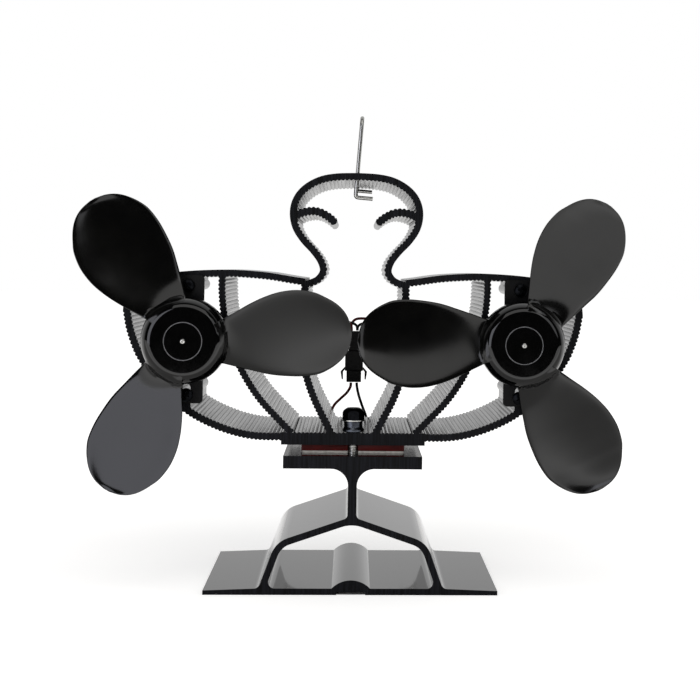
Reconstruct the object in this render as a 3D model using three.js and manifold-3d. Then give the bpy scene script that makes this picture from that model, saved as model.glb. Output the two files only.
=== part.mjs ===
import * as THREE from 'three';
import { mergeVertices } from 'three/addons/utils/BufferGeometryUtils.js';
import Module from 'manifold-3d';

// Twin fan for the top of a stove, driven by the heat that it stands on.
// Millimetres. X runs along the two fans, Y from the front to the back, Z up.

const wasm = await Module();
wasm.setup();

// Clearances
const film_gap = 0.02; // between flat faces that are clamped together
const seat_gap = 0.3; // round a shank, a tab or the end of a lead
const running_gap = 0.08; // between turning and standing metal
const overrun = 1; // how far a cut passes the face that it opens

// Base stand: one extrusion with a foot, two legs, a stem and the hot plate
const stand_depth = 80;
const stand_height = 53.7;
const foot_half_width = 57;
const foot_edge = 1.7;
const foot_thickness = 2.5;
const hump_half_width = 7.5;
const hump_rise = 3.2;
const leg_foot_x = 36.6; // where the outer face of a leg would meet the floor
const leg_lean_share = 0.364; // run of a leg to its rise
const shoulder_height = 20.4;
const roof_slope_share = 0.342; // rise of the roof to its run
const stand_wall = 2.6;
const leg_fillet = 2.5;
const shoulder_radius = 10;
const apex_radius = 12;
const stem_half_width = 1.7;
const stem_fillet = 2;
const hot_plate_half_width = 26.9;
const hot_plate_thickness = 4.9;
const hot_plate_fillet = 6.7;

// Bimetal strip in a recess under the foot, held by one screw
const recess_half_width = 5.6;
const recess_depth = 1.2;
const strip_half_width = 5.1;
const strip_length = 62;
const strip_thickness = 0.55;
const strip_screw_y = 22;
const strip_screw_radius = 1.2;
const strip_screw_head_radius = 2.6;
const strip_screw_head = 0.5;
const strip_screw_length = 3.4;

// Thermoelectric module between the hot plate and the heat sink
const module_size = 40;
const pad_thickness = 0.15;
const ceramic_thickness = 0.6;
const cold_ceramic_size = 39;
const seal_width = 40.6;
const seal_depth = 58;
const gasket_width = 40;
const module_height = 3.4; // from the hot plate to the heat sink
const pellet_rows = 4;
const pellet_size = 5.4;
const pellet_pitch = 8.6;
const pellet_tab = 0.35;

// Heat sink: one extrusion. Shares give each wall's centre line: of the head's half width and
// height, or of the bowl's height and the way out to its side. The bowl's own wall starts near the
// edge of the plate, the arm and the inner rib at the neck, and the middle rib ends at the motor.
const sink_depth = 64;
const plate_half_width = 28.15;
const plate_thickness = 5;
const bowl_half_width = 88.7;
const bowl_height = 63.45;
const bowl_root_inset = 2.15; // of the bowl's walls from the edge of the plate
const bowl_step = 0.2; // from the plate's top down to the inside of the bowl's wall
const bowl_wall = 3.25;
const arm_wall = 2.9;
const mid_rib_wall = 3;
const inner_rib_wall = 3.2;
const head_half_width = 24.65;
const head_height = 42.5;
const head_wall = 2.95;
const horn_wall = 3.45;
const wall_step = 4; // between the corners of a curved wall
const neck_share = 0.94; // of the bowl's height, where the neck meets the arms
const bowl_shares = [
  [0, 0], [0.171, 0.001], [0.297, 0.02], [0.421, 0.058], [0.547, 0.115], [0.646, 0.179],
  [0.741, 0.261], [0.826, 0.356], [0.891, 0.455], [0.932, 0.528], [0.976, 0.652], [0.999, 0.775],
];
const arm_shares = [
  [0, 0.953], [0.08, 0.965], [0.193, 0.984], [0.306, 0.995], [0.421, 1], [0.534, 0.997],
  [0.649, 0.989], [0.758, 0.975], [0.86, 0.95], [0.939, 0.907], [0.987, 0.844], [0.999, 0.765],
];
const mid_rib_shares = [
  [0.983, 0.99], [0.984, 0.901], [0.971, 0.775], [0.932, 0.613], [0.869, 0.471], [0.786, 0.34],
  [0.682, 0.217], [0.538, 0.091], [0.455, 0.022],
];
const inner_rib_shares = [
  [0, 0.947], [0, 0.828], [0.008, 0.701], [0.006, 0.558], [-0.007, 0.431], [-0.026, 0.34],
  [-0.07, 0.217], [-0.129, 0.091], [-0.169, 0.005],
];
const head_shares = [
  [0, 1], [0.304, 0.993], [0.544, 0.968], [0.742, 0.914], [0.884, 0.843], [0.968, 0.761],
  [1, 0.671], [0.986, 0.58], [0.931, 0.495], [0.819, 0.403], [0.669, 0.311], [0.552, 0.217],
  [0.511, 0.125], [0.584, 0.05], [0.706, 0.012], [0.803, -0.004],
];
const horn_shares = [
  [1, 0.605], [0.955, 0.634], [0.836, 0.664], [0.7, 0.676], [0.576, 0.664], [0.446, 0.624],
  [0.377, 0.591],
];

// Clamp screws on the centre line, one in front of the module and one behind it
const clamp_y = 28;
const clamp_screw_radius = 2;
const clamp_screw_depth = 3.4; // into the hot plate
const clamp_head_across = 7.5;
const clamp_head_height = 4.6;
const rear_head_height = 3.1;
const clamp_head_chamfer = 1.4;
const clamp_washer_radius = 4.3;
const clamp_washer_thickness = 0.6;
const collar_top_radius = 3.6;
const collar_bottom_radius = 4.25;
const collar_height = 4.1;
const collar_lip = 0.9;

// Fan axes, motor brackets and their screws
const fan_inset = 23.7; // from the side of the bowl to a fan's axis
const fan_rise = 40.7; // from the bottom of the heat sink to the fans' axes
const bracket_half_width = 6.3;
const bracket_rise = 25.1; // above the fan axis
const bracket_drop = 24.8; // below the fan axis
const bracket_thickness = 1.6;
const bracket_corner = 1.6;
const upper_screw_rise = 20.9;
const lower_screw_drop = 21.5;
const bracket_screw_radius = 1.4;
const bracket_screw_length = 8;
const bracket_head_radius = 2.7;
const bracket_head_height = 1.7;
const slot_rise = 2.6; // how far the lower hole of the bracket runs up
const boss_radius = 2.4;
const boss_web_half_width = 1.6;
const motor_screw_rise = 7.5;
const motor_screw_radius = 0.9;
const motor_head_radius = 1.7;
const motor_head_height = 1.2;
const motor_screw_tail = 0.3; // past the inside of the can's front wall

// Motors
const can_radius = 12.2;
const can_length = 12.3;
const can_wall = 0.6;
const can_front = 0.8;
const nose_radius = 3.1;
const nose_length = 1.5;
const bush_radius = 2.2;
const front_bush_length = 2.8;
const rear_bush_length = 2.4;
const shaft_radius = 1;
const shaft_tail = 1.1; // of the shaft, behind the can
const magnet_thickness = 2.6;
const magnet_start = 1.8;
const magnet_length = 7.5;
const core_start = 2.2;
const core_length = 5.4;
const core_radius = 8.1;
const core_hub_radius = 2.9;
const core_arm_half_width = 1.1;
const core_shoe = 1.5;
const core_shoe_half_width = 5.2;
const core_poles = 3;
const coil_half_width = 2.5;
const coil_overhang = 0.8;
const coil_inner_radius = 3.5;
const coil_outer_radius = 6.2;
const commutator_start = 8.8;
const commutator_length = 2.1;
const commutator_radius = 2.1;
const commutator_slot = 0.3;
const cap_thickness = 1.2;
const cap_boss_radius = 3.4;
const cap_boss_length = 1.6;
const tab_x = 6.3;
const tab_half_width = 1;
const tab_thickness = 0.6;
const tab_length = 3; // behind the cap
const leaf_half_width = 0.6;
const leaf_gap = 0.8; // from the end cap to the brush leaf

// Propellers
const hub_standoff = 4; // from the bracket to the back of the hub
const hub_depth = 11.5;
const hub_radius = 16.7;
const hub_flat_radius = 9.5;
const hub_dome_depth = 8.5;
const hub_wall = 1.6;
const hub_boss_radius = 3.6;
const hub_fit = 0.05;
const ring_radius = 7.2;
const ring_width = 0.35;
const ring_depth = 0.3;
const shaft_proud = 0.5; // of the hub's face
const blades = 3;
const blade_tip_radius = 63.9;
const blade_half_chord = 16.8;
const blade_root_thickness = 2.4;
const blade_tip_thickness = 1.3;
const blade_camber = 1.2;
const root_slope_share = 0.45; // depth of the blade to its width, at the root
const tip_slope_share = 0.22;
const blade_shares = [ // radius to the tip's, half chord and rise of its middle to the widest one
  [0.188, 0.44, -0.083], [0.25, 0.54, -0.062], [0.313, 0.64, -0.042], [0.407, 0.786, -0.006],
  [0.501, 0.908, 0.015], [0.595, 0.979, 0.033], [0.689, 1, 0.03], [0.783, 0.952, 0.012],
  [0.845, 0.854, 0], [0.908, 0.705, 0], [0.955, 0.53, 0], [0.985, 0.32, 0], [1, 0.1, 0],
];
const left_fan_angle = THREE.MathUtils.degToRad(3.7);
const right_fan_angle = THREE.MathUtils.degToRad(179.1);

// Bail handle of bent wire, standing in two holes of the head
const handle_hole_y = 28;
const handle_hole_radius = 1.25;
const handle_wire_radius = 0.8;
const handle_height = 25;
const handle_corner = 4;
const hook_corner = 1.3;
const front_hook_drop = 6.5;
const rear_hook_drop = 3.95;
const hook_length = 6.8;
const handle_lean = THREE.MathUtils.degToRad(4);
const handle_pitch = THREE.MathUtils.degToRad(3);

// Two-part lead connector behind the heat sink
const connector_y = 36.5;
const connector_rise = 41.9; // of its top, from the bottom of the heat sink
const plug_half_width = 2.6;
const plug_half_depth = 2.3;
const plug_length = 8.6;
const plug_tongue = 5;
const plug_tongue_wall = 0.5;
const socket_half_width = 3.9;
const socket_half_depth = 3;
const socket_length = 8.7;
const socket_tail_half_width = 3.2;
const socket_tail_half_depth = 2.4;
const socket_tail_length = 4.9;
const latch_reach = 5.8;
const latch_half_depth = 1.4;
const latch_width = 1.1;
const latch_start = 6.4; // below the top of the socket
const latch_elbow = 9.1;
const latch_end = 12.5;

// Leads: radius, sides and route of each, with heights from the bottom of the heat sink
const lead_radius = 0.6;
const lead_sides = 8;
const lead_step = 3;
const left_red_route = [
  [-71.3, -16.3, 40.7], [-71.4, -13, 40.6], [-71.2, -6, 40], [-70, 6, 38.5], [-67.4, 18, 37.2],
  [-62.6, 28.4, 37.1], [-55, 34.6, 38.1], [-45, 36.7, 39.8], [-34, 37.3, 42], [-23, 37.4, 44.3],
  [-13.5, 37.2, 46.2], [-7, 36.9, 46.7], [-3.1, 36.4, 45.9], [-1.5, 35.9, 44.2], [-1.25, 35.8, 42.2],
];
const left_black_route = [
  [-58.7, -16.3, 40.7], [-58.8, -13, 40.5], [-59.2, -6, 39.4], [-60, 6, 36.9], [-60, 18, 34.9],
  [-57.4, 28, 34.7], [-51, 34.4, 35.6], [-42.5, 36.7, 37.2], [-33, 37.4, 39.4], [-23, 37.6, 41.9],
  [-13.5, 37.8, 44.1], [-6, 37.8, 45.3], [-1.2, 37.75, 45.4], [0.9, 37.5, 44.2], [1.25, 37.2, 42.2],
];
const right_red_route = [
  [71.3, -16.3, 40.7], [71.4, -13, 40.6], [71.2, -6, 40], [70, 6, 38.1], [67.2, 18, 36.6],
  [62, 28.4, 36.3], [54.4, 34.7, 37.3], [44.4, 37, 39.2], [33.4, 38, 41.7], [22.4, 38.6, 44.3],
  [13, 39, 46.4], [5.6, 39.3, 47.3], [0.6, 39.35, 47], [-1.1, 39.25, 45.4], [-1.4, 38.6, 43.8],
  [-1.25, 37.2, 42.2],
];
const right_black_route = [
  [58.7, -16.3, 40.7], [58.8, -13, 40.5], [59.2, -6, 39.4], [60, 6, 36.9], [59.6, 18, 34.7],
  [56.6, 27.8, 34.2], [50, 34, 35], [41.6, 35.9, 36.5], [32, 36, 38.5], [22, 35.9, 41],
  [13, 35.8, 43.4], [6.6, 35.7, 45.1], [3, 35.7, 45.1], [1.5, 35.8, 43.9], [1.25, 35.8, 42.2],
];
const module_red_route = [
  [-1.2, 36.5, 19.3], [-1.4, 36.6, 17.5], [-2.9, 36.8, 14.9], [-5.8, 36.8, 12.1], [-8.4, 36.5, 9.3],
  [-9.6, 35.9, 6.1], [-9.6, 35.2, 3.1], [-9.2, 34.2, 0.4], [-8.9, 32.2, -1.3], [-8.8, 29.4, -1.7],
];
const module_black_route = [
  [1.3, 36.5, 19.3], [1.5, 36.6, 17.3], [2.1, 36.7, 14.5], [3.1, 36.7, 11.3], [4.3, 36.5, 8.1],
  [5.5, 36, 5.1], [6.2, 35.2, 2.4], [6.5, 34, 0.1], [6.6, 32.1, -1.4], [6.6, 29.4, -1.7],
];

// Roundness of turned and bent forms
const round_sides = 20;
const small_sides = 10;
const wire_sides = 6;
const arc_step = Math.PI / 8;

// Finishes
const finish = {
  anodised: new THREE.MeshStandardMaterial({ color: 0x18181a, roughness: 0.42, metalness: 0.6 }),
  bracket_paint: new THREE.MeshStandardMaterial({ color: 0x121213, roughness: 0.5, metalness: 0.3 }),
  blade_plastic: new THREE.MeshStandardMaterial({ color: 0x0d0d0e, roughness: 0.28, metalness: 0 }),
  black_screw: new THREE.MeshStandardMaterial({ color: 0x151515, roughness: 0.35, metalness: 0.8 }),
  bright_steel: new THREE.MeshStandardMaterial({ color: 0xb9bab8, roughness: 0.25, metalness: 1 }),
  bimetal: new THREE.MeshStandardMaterial({ color: 0x8b8474, roughness: 0.4, metalness: 1 }),
  graphite: new THREE.MeshStandardMaterial({ color: 0x3a3b3c, roughness: 0.7, metalness: 0.2 }),
  ceramic: new THREE.MeshStandardMaterial({ color: 0xe6e4dd, roughness: 0.6, metalness: 0 }),
  sealant: new THREE.MeshStandardMaterial({ color: 0x6a1512, roughness: 0.55, metalness: 0 }),
  gasket: new THREE.MeshStandardMaterial({ color: 0xcfcbc3, roughness: 0.8, metalness: 0 }),
  pellet: new THREE.MeshStandardMaterial({ color: 0x77777d, roughness: 0.5, metalness: 0.7 }),
  sintered: new THREE.MeshStandardMaterial({ color: 0x9a7444, roughness: 0.6, metalness: 0.8 }),
  magnet: new THREE.MeshStandardMaterial({ color: 0x2b2a2a, roughness: 0.8, metalness: 0 }),
  copper: new THREE.MeshStandardMaterial({ color: 0xa85a2c, roughness: 0.35, metalness: 0.9 }),
  lamination: new THREE.MeshStandardMaterial({ color: 0x6f6f72, roughness: 0.5, metalness: 0.9 }),
  cap_plastic: new THREE.MeshStandardMaterial({ color: 0x1b1b1d, roughness: 0.6, metalness: 0 }),
  red_lead: new THREE.MeshStandardMaterial({ color: 0x8e1512, roughness: 0.45, metalness: 0 }),
  black_lead: new THREE.MeshStandardMaterial({ color: 0x161616, roughness: 0.45, metalness: 0 }),
};

// One closed body with merged corners and outward faces
function closed(geometry) {
  geometry.deleteAttribute('normal');
  geometry.deleteAttribute('uv');
  const merged = mergeVertices(geometry);
  const corners = merged.attributes.position;
  const kept = [];
  let volume = 0;
  const [a, b, c] = [new THREE.Vector3(), new THREE.Vector3(), new THREE.Vector3()];
  for (let i = 0; i < merged.index.count; i += 3) {
    const face = [merged.index.getX(i), merged.index.getX(i + 1), merged.index.getX(i + 2)];
    if (new Set(face).size < 3) continue;
    kept.push(face);
    a.fromBufferAttribute(corners, face[0]);
    b.fromBufferAttribute(corners, face[1]);
    c.fromBufferAttribute(corners, face[2]);
    volume += a.dot(b.cross(c));
  }
  const order = volume < 0 ? kept.map(([i, j, k]) => [i, k, j]) : kept;
  merged.setIndex(order.flat());
  merged.computeVertexNormals();
  return merged;
}

function as_solid(geometry) {
  const body = closed(geometry);
  const vertProperties = Float32Array.from(body.attributes.position.array);
  const triVerts = Uint32Array.from(body.index.array);
  return new wasm.Manifold(new wasm.Mesh({ numProp: 3, vertProperties, triVerts }));
}

function as_geometry(solid) {
  const mesh = solid.getMesh();
  const geometry = new THREE.BufferGeometry();
  geometry.setAttribute('position', new THREE.BufferAttribute(Float32Array.from(mesh.vertProperties), 3));
  geometry.setIndex(new THREE.BufferAttribute(Uint32Array.from(mesh.triVerts), 1));
  geometry.computeVertexNormals();
  return geometry;
}

// The first geometries joined, with the later ones cut out of them
function carved(joined, cut = []) {
  const whole = joined.map(as_solid).reduce((sum, next) => sum.add(next));
  return as_geometry(cut.map(as_solid).reduce((rest, tool) => rest.subtract(tool), whole));
}

// A front outline of x and z points, pushed from y_front to y_back
function prism(outline, y_front, y_back, holes = []) {
  const shape = new THREE.Shape(outline);
  shape.holes = holes.map((hole) => new THREE.Path(hole));
  const geometry = new THREE.ExtrudeGeometry(shape, { depth: y_back - y_front, bevelEnabled: false });
  geometry.rotateX(Math.PI / 2);
  geometry.translate(0, y_back, 0);
  return geometry;
}

function block(x_low, x_high, y_low, y_high, z_low, z_high) {
  const geometry = new THREE.BoxGeometry(x_high - x_low, y_high - y_low, z_high - z_low);
  geometry.translate((x_low + x_high) / 2, (y_low + y_high) / 2, (z_low + z_high) / 2);
  return geometry;
}

// A profile of radius and height points turned about the Y axis
function turned(profile, sides = round_sides) {
  const points = profile.map(([radius, y]) => new THREE.Vector2(radius, y));
  return new THREE.LatheGeometry(points, sides);
}

// A turned ring whose profile closes on itself
function turned_ring(profile, sides = round_sides) {
  return turned([...profile, profile[0]], sides);
}

function ring_profile(inner, outer, y_low, y_high) {
  return [[inner, y_low], [outer, y_low], [outer, y_high], [inner, y_high]];
}

// The corner radius of a regular bore whose flats clear a round pin of this radius
function bore_radius(pin_radius, sides) {
  return pin_radius / Math.cos(Math.PI / sides);
}

function rod(radius, y_low, y_high, sides = round_sides) {
  return turned([[0, y_low], [radius, y_low], [radius, y_high], [0, y_high]], sides);
}

function upright(geometry) {
  geometry.rotateX(Math.PI / 2);
  return geometry;
}

// A closed outline through corners of x, z and radius
function rounded(corners) {
  const points = [];
  corners.forEach(([x, z, radius], i) => {
    const corner = new THREE.Vector2(x, z);
    if (!radius) {
      points.push(corner);
      return;
    }
    const [x_before, z_before] = corners.at(i - 1);
    const [x_after, z_after] = corners[(i + 1) % corners.length];
    const before = new THREE.Vector2(x_before, z_before).sub(corner);
    const after = new THREE.Vector2(x_after, z_after).sub(corner);
    const shortest = Math.min(before.length(), after.length());
    before.normalize();
    after.normalize();
    const half = Math.acos(THREE.MathUtils.clamp(before.dot(after), -1, 1)) / 2;
    const reach = Math.min(radius / Math.tan(half), shortest / 2);
    const centre = before.clone().add(after).normalize();
    centre.multiplyScalar(reach / Math.cos(half)).add(corner);
    const start = before.multiplyScalar(reach).add(corner).sub(centre);
    const end = after.multiplyScalar(reach).add(corner).sub(centre);
    const turn = Math.atan2(start.cross(end), start.dot(end));
    const steps = Math.max(2, Math.ceil(Math.abs(turn) / arc_step));
    for (let step = 0; step <= steps; step += 1) {
      points.push(start.clone().rotateAround(new THREE.Vector2(), (turn * step) / steps).add(centre));
    }
  });
  return points;
}

// The right half of an outline, followed by its mirror image
function mirrored(half) {
  const other = half.filter(([x]) => x !== 0).map(([x, ...rest]) => [-x, ...rest]);
  return [...half, ...other.reverse()];
}

function disc(x, z, radius, sides = round_sides) {
  return Array.from({ length: sides }, (_, i) => {
    const angle = (2 * Math.PI * i) / sides;
    return new THREE.Vector2(x + radius * Math.cos(angle), z + radius * Math.sin(angle));
  });
}

// A wire or lead of even section along a smooth route
function tube(curve, radius, sides, step) {
  const section = new THREE.Shape(disc(0, 0, radius, sides));
  const steps = Math.ceil(curve.getLength() / step);
  return new THREE.ExtrudeGeometry(section, { steps, bevelEnabled: false, extrudePath: curve });
}

const model = new THREE.Group();

function add(parent, name, geometry, material) {
  const mesh = new THREE.Mesh(closed(geometry), material);
  mesh.name = name;
  parent.add(mesh);
}

// Base stand
const stand_front = -stand_depth / 2;
const stand_back = stand_depth / 2;
const clamp_ends = [['front', -clamp_y], ['rear', clamp_y]];

function leg_outer_x(z) {
  return leg_foot_x - leg_lean_share * z;
}

// The right half of a round hump from its top to its edge
function hump_half() {
  const radius = (hump_half_width ** 2 + hump_rise ** 2) / (2 * hump_rise);
  const half_angle = Math.asin(hump_half_width / radius);
  const steps = Math.ceil(half_angle / arc_step) + 1;
  return Array.from({ length: steps + 1 }, (_, i) => {
    const angle = (half_angle * i) / steps;
    return [radius * Math.sin(angle), foot_thickness + hump_rise - radius * (1 - Math.cos(angle))];
  });
}

function base_stand() {
  const shoulder_x = leg_outer_x(shoulder_height);
  const roof_base = shoulder_height + roof_slope_share * shoulder_x;
  const plate_bottom = stand_height - hot_plate_thickness;
  const outline = rounded(mirrored([
    [recess_half_width, recess_depth],
    [recess_half_width, 0],
    [foot_half_width, 0],
    [foot_half_width, foot_edge],
    [leg_outer_x(foot_thickness), foot_thickness, leg_fillet],
    [shoulder_x, shoulder_height, shoulder_radius],
    [stem_half_width, roof_base - roof_slope_share * stem_half_width, stem_fillet],
    [stem_half_width, plate_bottom, hot_plate_fillet],
    [hot_plate_half_width, plate_bottom],
    [hot_plate_half_width, stand_height],
  ]));
  const inner_foot_x = leg_foot_x - stand_wall * Math.hypot(1, leg_lean_share);
  const inner_roof_base = roof_base - stand_wall * Math.hypot(1, roof_slope_share);
  const inner_shoulder_x = (inner_foot_x - leg_lean_share * inner_roof_base)
    / (1 - leg_lean_share * roof_slope_share);
  const tunnel = rounded(mirrored([
    ...hump_half(),
    [inner_foot_x - leg_lean_share * foot_thickness, foot_thickness, leg_fillet],
    [inner_shoulder_x, inner_roof_base - roof_slope_share * inner_shoulder_x,
      shoulder_radius - stand_wall],
    [0, inner_roof_base, apex_radius],
  ]));
  const clamp_bore = bore_radius(clamp_screw_radius + seat_gap, small_sides);
  const clamp_floor = stand_height - clamp_screw_depth - seat_gap;
  const clamp_holes = clamp_ends.map(([, y]) => (
    upright(rod(clamp_bore, clamp_floor, stand_height + overrun, small_sides)).translate(0, y, 0)));
  const strip_bore = bore_radius(strip_screw_radius + seat_gap, small_sides);
  const strip_hole_top = recess_depth + strip_screw_length + seat_gap;
  const strip_hole = upright(rod(strip_bore, recess_depth - overrun, strip_hole_top, small_sides));
  strip_hole.translate(0, strip_screw_y, 0);
  return carved([prism(outline, stand_front, stand_back, [tunnel])], [...clamp_holes, strip_hole]);
}

add(model, 'base_stand', base_stand(), finish.anodised);

// Bimetal strip and its screw
const strip_top = recess_depth - film_gap;
const strip_bottom = strip_top - strip_thickness;

function bimetal_strip() {
  const bore = bore_radius(strip_screw_radius + seat_gap, small_sides);
  const hole = upright(rod(bore, strip_bottom - overrun, strip_top + overrun, small_sides));
  const y_back = strip_screw_y + strip_half_width;
  const strip = block(
    -strip_half_width, strip_half_width, y_back - strip_length, y_back, strip_bottom, strip_top);
  return carved([strip], [hole.translate(0, strip_screw_y, 0)]);
}

function strip_screw() {
  const head_top = strip_bottom - film_gap;
  const head_bottom = head_top - strip_screw_head;
  const tip = recess_depth + strip_screw_length;
  const screw = upright(turned([
    [0, head_bottom],
    [strip_screw_head_radius, head_bottom],
    [strip_screw_head_radius, head_top],
    [strip_screw_radius, head_top],
    [strip_screw_radius, tip],
    [0, tip],
  ], small_sides));
  return screw.translate(0, strip_screw_y, 0);
}

add(model, 'bimetal_strip', bimetal_strip(), finish.bimetal);
add(model, 'bimetal_screw', strip_screw(), finish.bright_steel);

// Thermoelectric module, from the hot plate up
const sink_bottom = stand_height + module_height;
const hot_pad_bottom = stand_height + film_gap;
const hot_pad_top = hot_pad_bottom + pad_thickness;
const hot_ceramic_bottom = hot_pad_top + film_gap;
const hot_ceramic_top = hot_ceramic_bottom + ceramic_thickness;
const cold_pad_top = sink_bottom - film_gap;
const cold_pad_bottom = cold_pad_top - pad_thickness;
const cold_ceramic_top = cold_pad_bottom - film_gap;
const cold_ceramic_bottom = cold_ceramic_top - ceramic_thickness;

function sheet(size, z_low, z_high) {
  return block(-size / 2, size / 2, -size / 2, size / 2, z_low, z_high);
}

// Pellets joined end to end by tabs, over and under by turns, in rows that run back and forth
function pellet_chain() {
  const low = hot_ceramic_top + film_gap;
  const high = cold_ceramic_bottom - film_gap;
  const middle = (pellet_rows - 1) / 2;
  const centres = [];
  for (let row = 0; row < pellet_rows; row += 1) {
    for (let column = 0; column < pellet_rows; column += 1) {
      const along = row % 2 ? pellet_rows - 1 - column : column;
      centres.push([(along - middle) * pellet_pitch, (row - middle) * pellet_pitch]);
    }
  }
  const half = pellet_size / 2;
  const pellets = centres.map(([x, y]) => block(x - half, x + half, y - half, y + half, low, high));
  const tabs = centres.slice(1).map(([x, y], i) => {
    const [x_last, y_last] = centres[i];
    const tab_low = i % 2 ? low : high - pellet_tab;
    return block(
      Math.min(x, x_last) - half, Math.max(x, x_last) + half,
      Math.min(y, y_last) - half, Math.max(y, y_last) + half,
      tab_low, tab_low + pellet_tab);
  });
  return carved([...pellets, ...tabs]);
}

// Room for the shanks of the clamp screws in the sheets round the module
function shank_room(z_low, z_high) {
  const bore = bore_radius(clamp_screw_radius + seat_gap, small_sides);
  return clamp_ends.map(([, y]) => upright(rod(bore, z_low, z_high, small_sides)).translate(0, y, 0));
}

function module_seal() {
  const low = hot_ceramic_top + film_gap;
  return carved([
    block(-seal_width / 2, seal_width / 2, -seal_depth / 2, seal_depth / 2, low, cold_pad_bottom),
  ], [
    sheet(cold_ceramic_size + seat_gap, low - overrun, cold_pad_bottom + overrun),
    ...shank_room(low - overrun, cold_pad_bottom + overrun),
  ]);
}

// A strip under the seal, between the module and the edge of the seal
function gasket(end) {
  const [near, far] = [end * (module_size / 2 + seat_gap), (end * seal_depth) / 2];
  return carved([
    block(-gasket_width / 2, gasket_width / 2, Math.min(near, far), Math.max(near, far),
      hot_pad_bottom, hot_ceramic_top),
  ], shank_room(hot_pad_bottom - overrun, hot_ceramic_top + overrun));
}

add(model, 'hot_pad', sheet(module_size, hot_pad_bottom, hot_pad_top), finish.graphite);
add(model, 'module_hot_ceramic', sheet(module_size, hot_ceramic_bottom, hot_ceramic_top), finish.ceramic);
add(model, 'module_pellets', pellet_chain(), finish.pellet);
add(model, 'module_seal', module_seal(), finish.sealant);
add(model, 'module_gasket_front', gasket(-1), finish.gasket);
add(model, 'module_gasket_rear', gasket(1), finish.gasket);
add(model, 'module_cold_ceramic', sheet(cold_ceramic_size, cold_ceramic_bottom, cold_ceramic_top),
  finish.ceramic);
add(model, 'cold_pad', sheet(module_size, cold_pad_bottom, cold_pad_top), finish.graphite);

// Heat sink
const sink_front = -sink_depth / 2;
const sink_back = sink_depth / 2;
const plate_top = sink_bottom + plate_thickness;
const bowl_bottom = plate_top - bowl_step - bowl_wall / 2;
const neck_z = bowl_bottom + neck_share * bowl_height;

const bowl_root_x = plate_half_width - bowl_root_inset;
const neck_x = head_half_width * head_shares.at(-1)[0];
const fan_x = bowl_half_width - fan_inset;
const fan_z = sink_bottom + fan_rise;

// A centre line with shares of the way from root_x to side_x, and of the bowl's height
function bowl_curve(shares, root_x, side_x = bowl_half_width) {
  return new THREE.SplineCurve(shares.map(([x, z]) => (
    new THREE.Vector2(THREE.MathUtils.lerp(root_x, side_x, x), bowl_bottom + z * bowl_height))));
}

const bowl_line = bowl_curve(bowl_shares, bowl_root_x);
const arm_line = bowl_curve(arm_shares, neck_x);

function head_curve(shares) {
  return new THREE.SplineCurve(shares.map(([x, z]) => (
    new THREE.Vector2(x * head_half_width, neck_z + z * head_height))));
}

// The height of a wall's centre line where it passes x
function height_at(curve, x) {
  const points = curve.getSpacedPoints(round_sides * round_sides);
  return points.reduce((best, point) => (Math.abs(point.x - x) < Math.abs(best.x - x) ? point : best)).y;
}

// A wall of even thickness along a centre line
function wall(curve, thickness, round_end = false) {
  const steps = Math.max(8, Math.round(curve.getLength() / wall_step));
  const [left, right, end] = [[], [], []];
  for (let i = 0; i <= steps; i += 1) {
    const along = curve.getTangentAt(i / steps);
    const out = new THREE.Vector2(-along.y, along.x);
    left.push(curve.getPointAt(i / steps).addScaledVector(out, thickness / 2));
    right.unshift(curve.getPointAt(i / steps).addScaledVector(out, -thickness / 2));
  }
  if (round_end) {
    const tip = curve.getPoint(1);
    const start = curve.getTangent(1).multiplyScalar(thickness / 2);
    for (let angle = Math.PI / 2 - arc_step; angle > -Math.PI / 2; angle -= arc_step) {
      end.push(start.clone().rotateAround(new THREE.Vector2(), angle).add(tip));
    }
  }
  return [...left, ...end, ...right];
}

function flipped(outline) {
  return outline.map((point) => new THREE.Vector2(-point.x, point.y)).reverse();
}

// The bottom plate
function plate_outline() {
  return [
    new THREE.Vector2(-plate_half_width, sink_bottom),
    new THREE.Vector2(plate_half_width, sink_bottom),
    new THREE.Vector2(plate_half_width, plate_top),
    new THREE.Vector2(-plate_half_width, plate_top),
  ];
}

// Screw bosses, each carried by a short web from the wall beside it
const boss_heights = [['upper', fan_z + upper_screw_rise], ['lower', fan_z - lower_screw_drop]];

function bosses() {
  const walls = { upper: arm_line, lower: bowl_line };
  return boss_heights.flatMap(([level, z]) => {
    const root = height_at(walls[level], fan_x);
    const web = [
      new THREE.Vector2(fan_x - boss_web_half_width, Math.min(z, root)),
      new THREE.Vector2(fan_x + boss_web_half_width, Math.min(z, root)),
      new THREE.Vector2(fan_x + boss_web_half_width, Math.max(z, root)),
      new THREE.Vector2(fan_x - boss_web_half_width, Math.max(z, root)),
    ];
    return [disc(fan_x, z, boss_radius, small_sides), web];
  });
}

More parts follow.
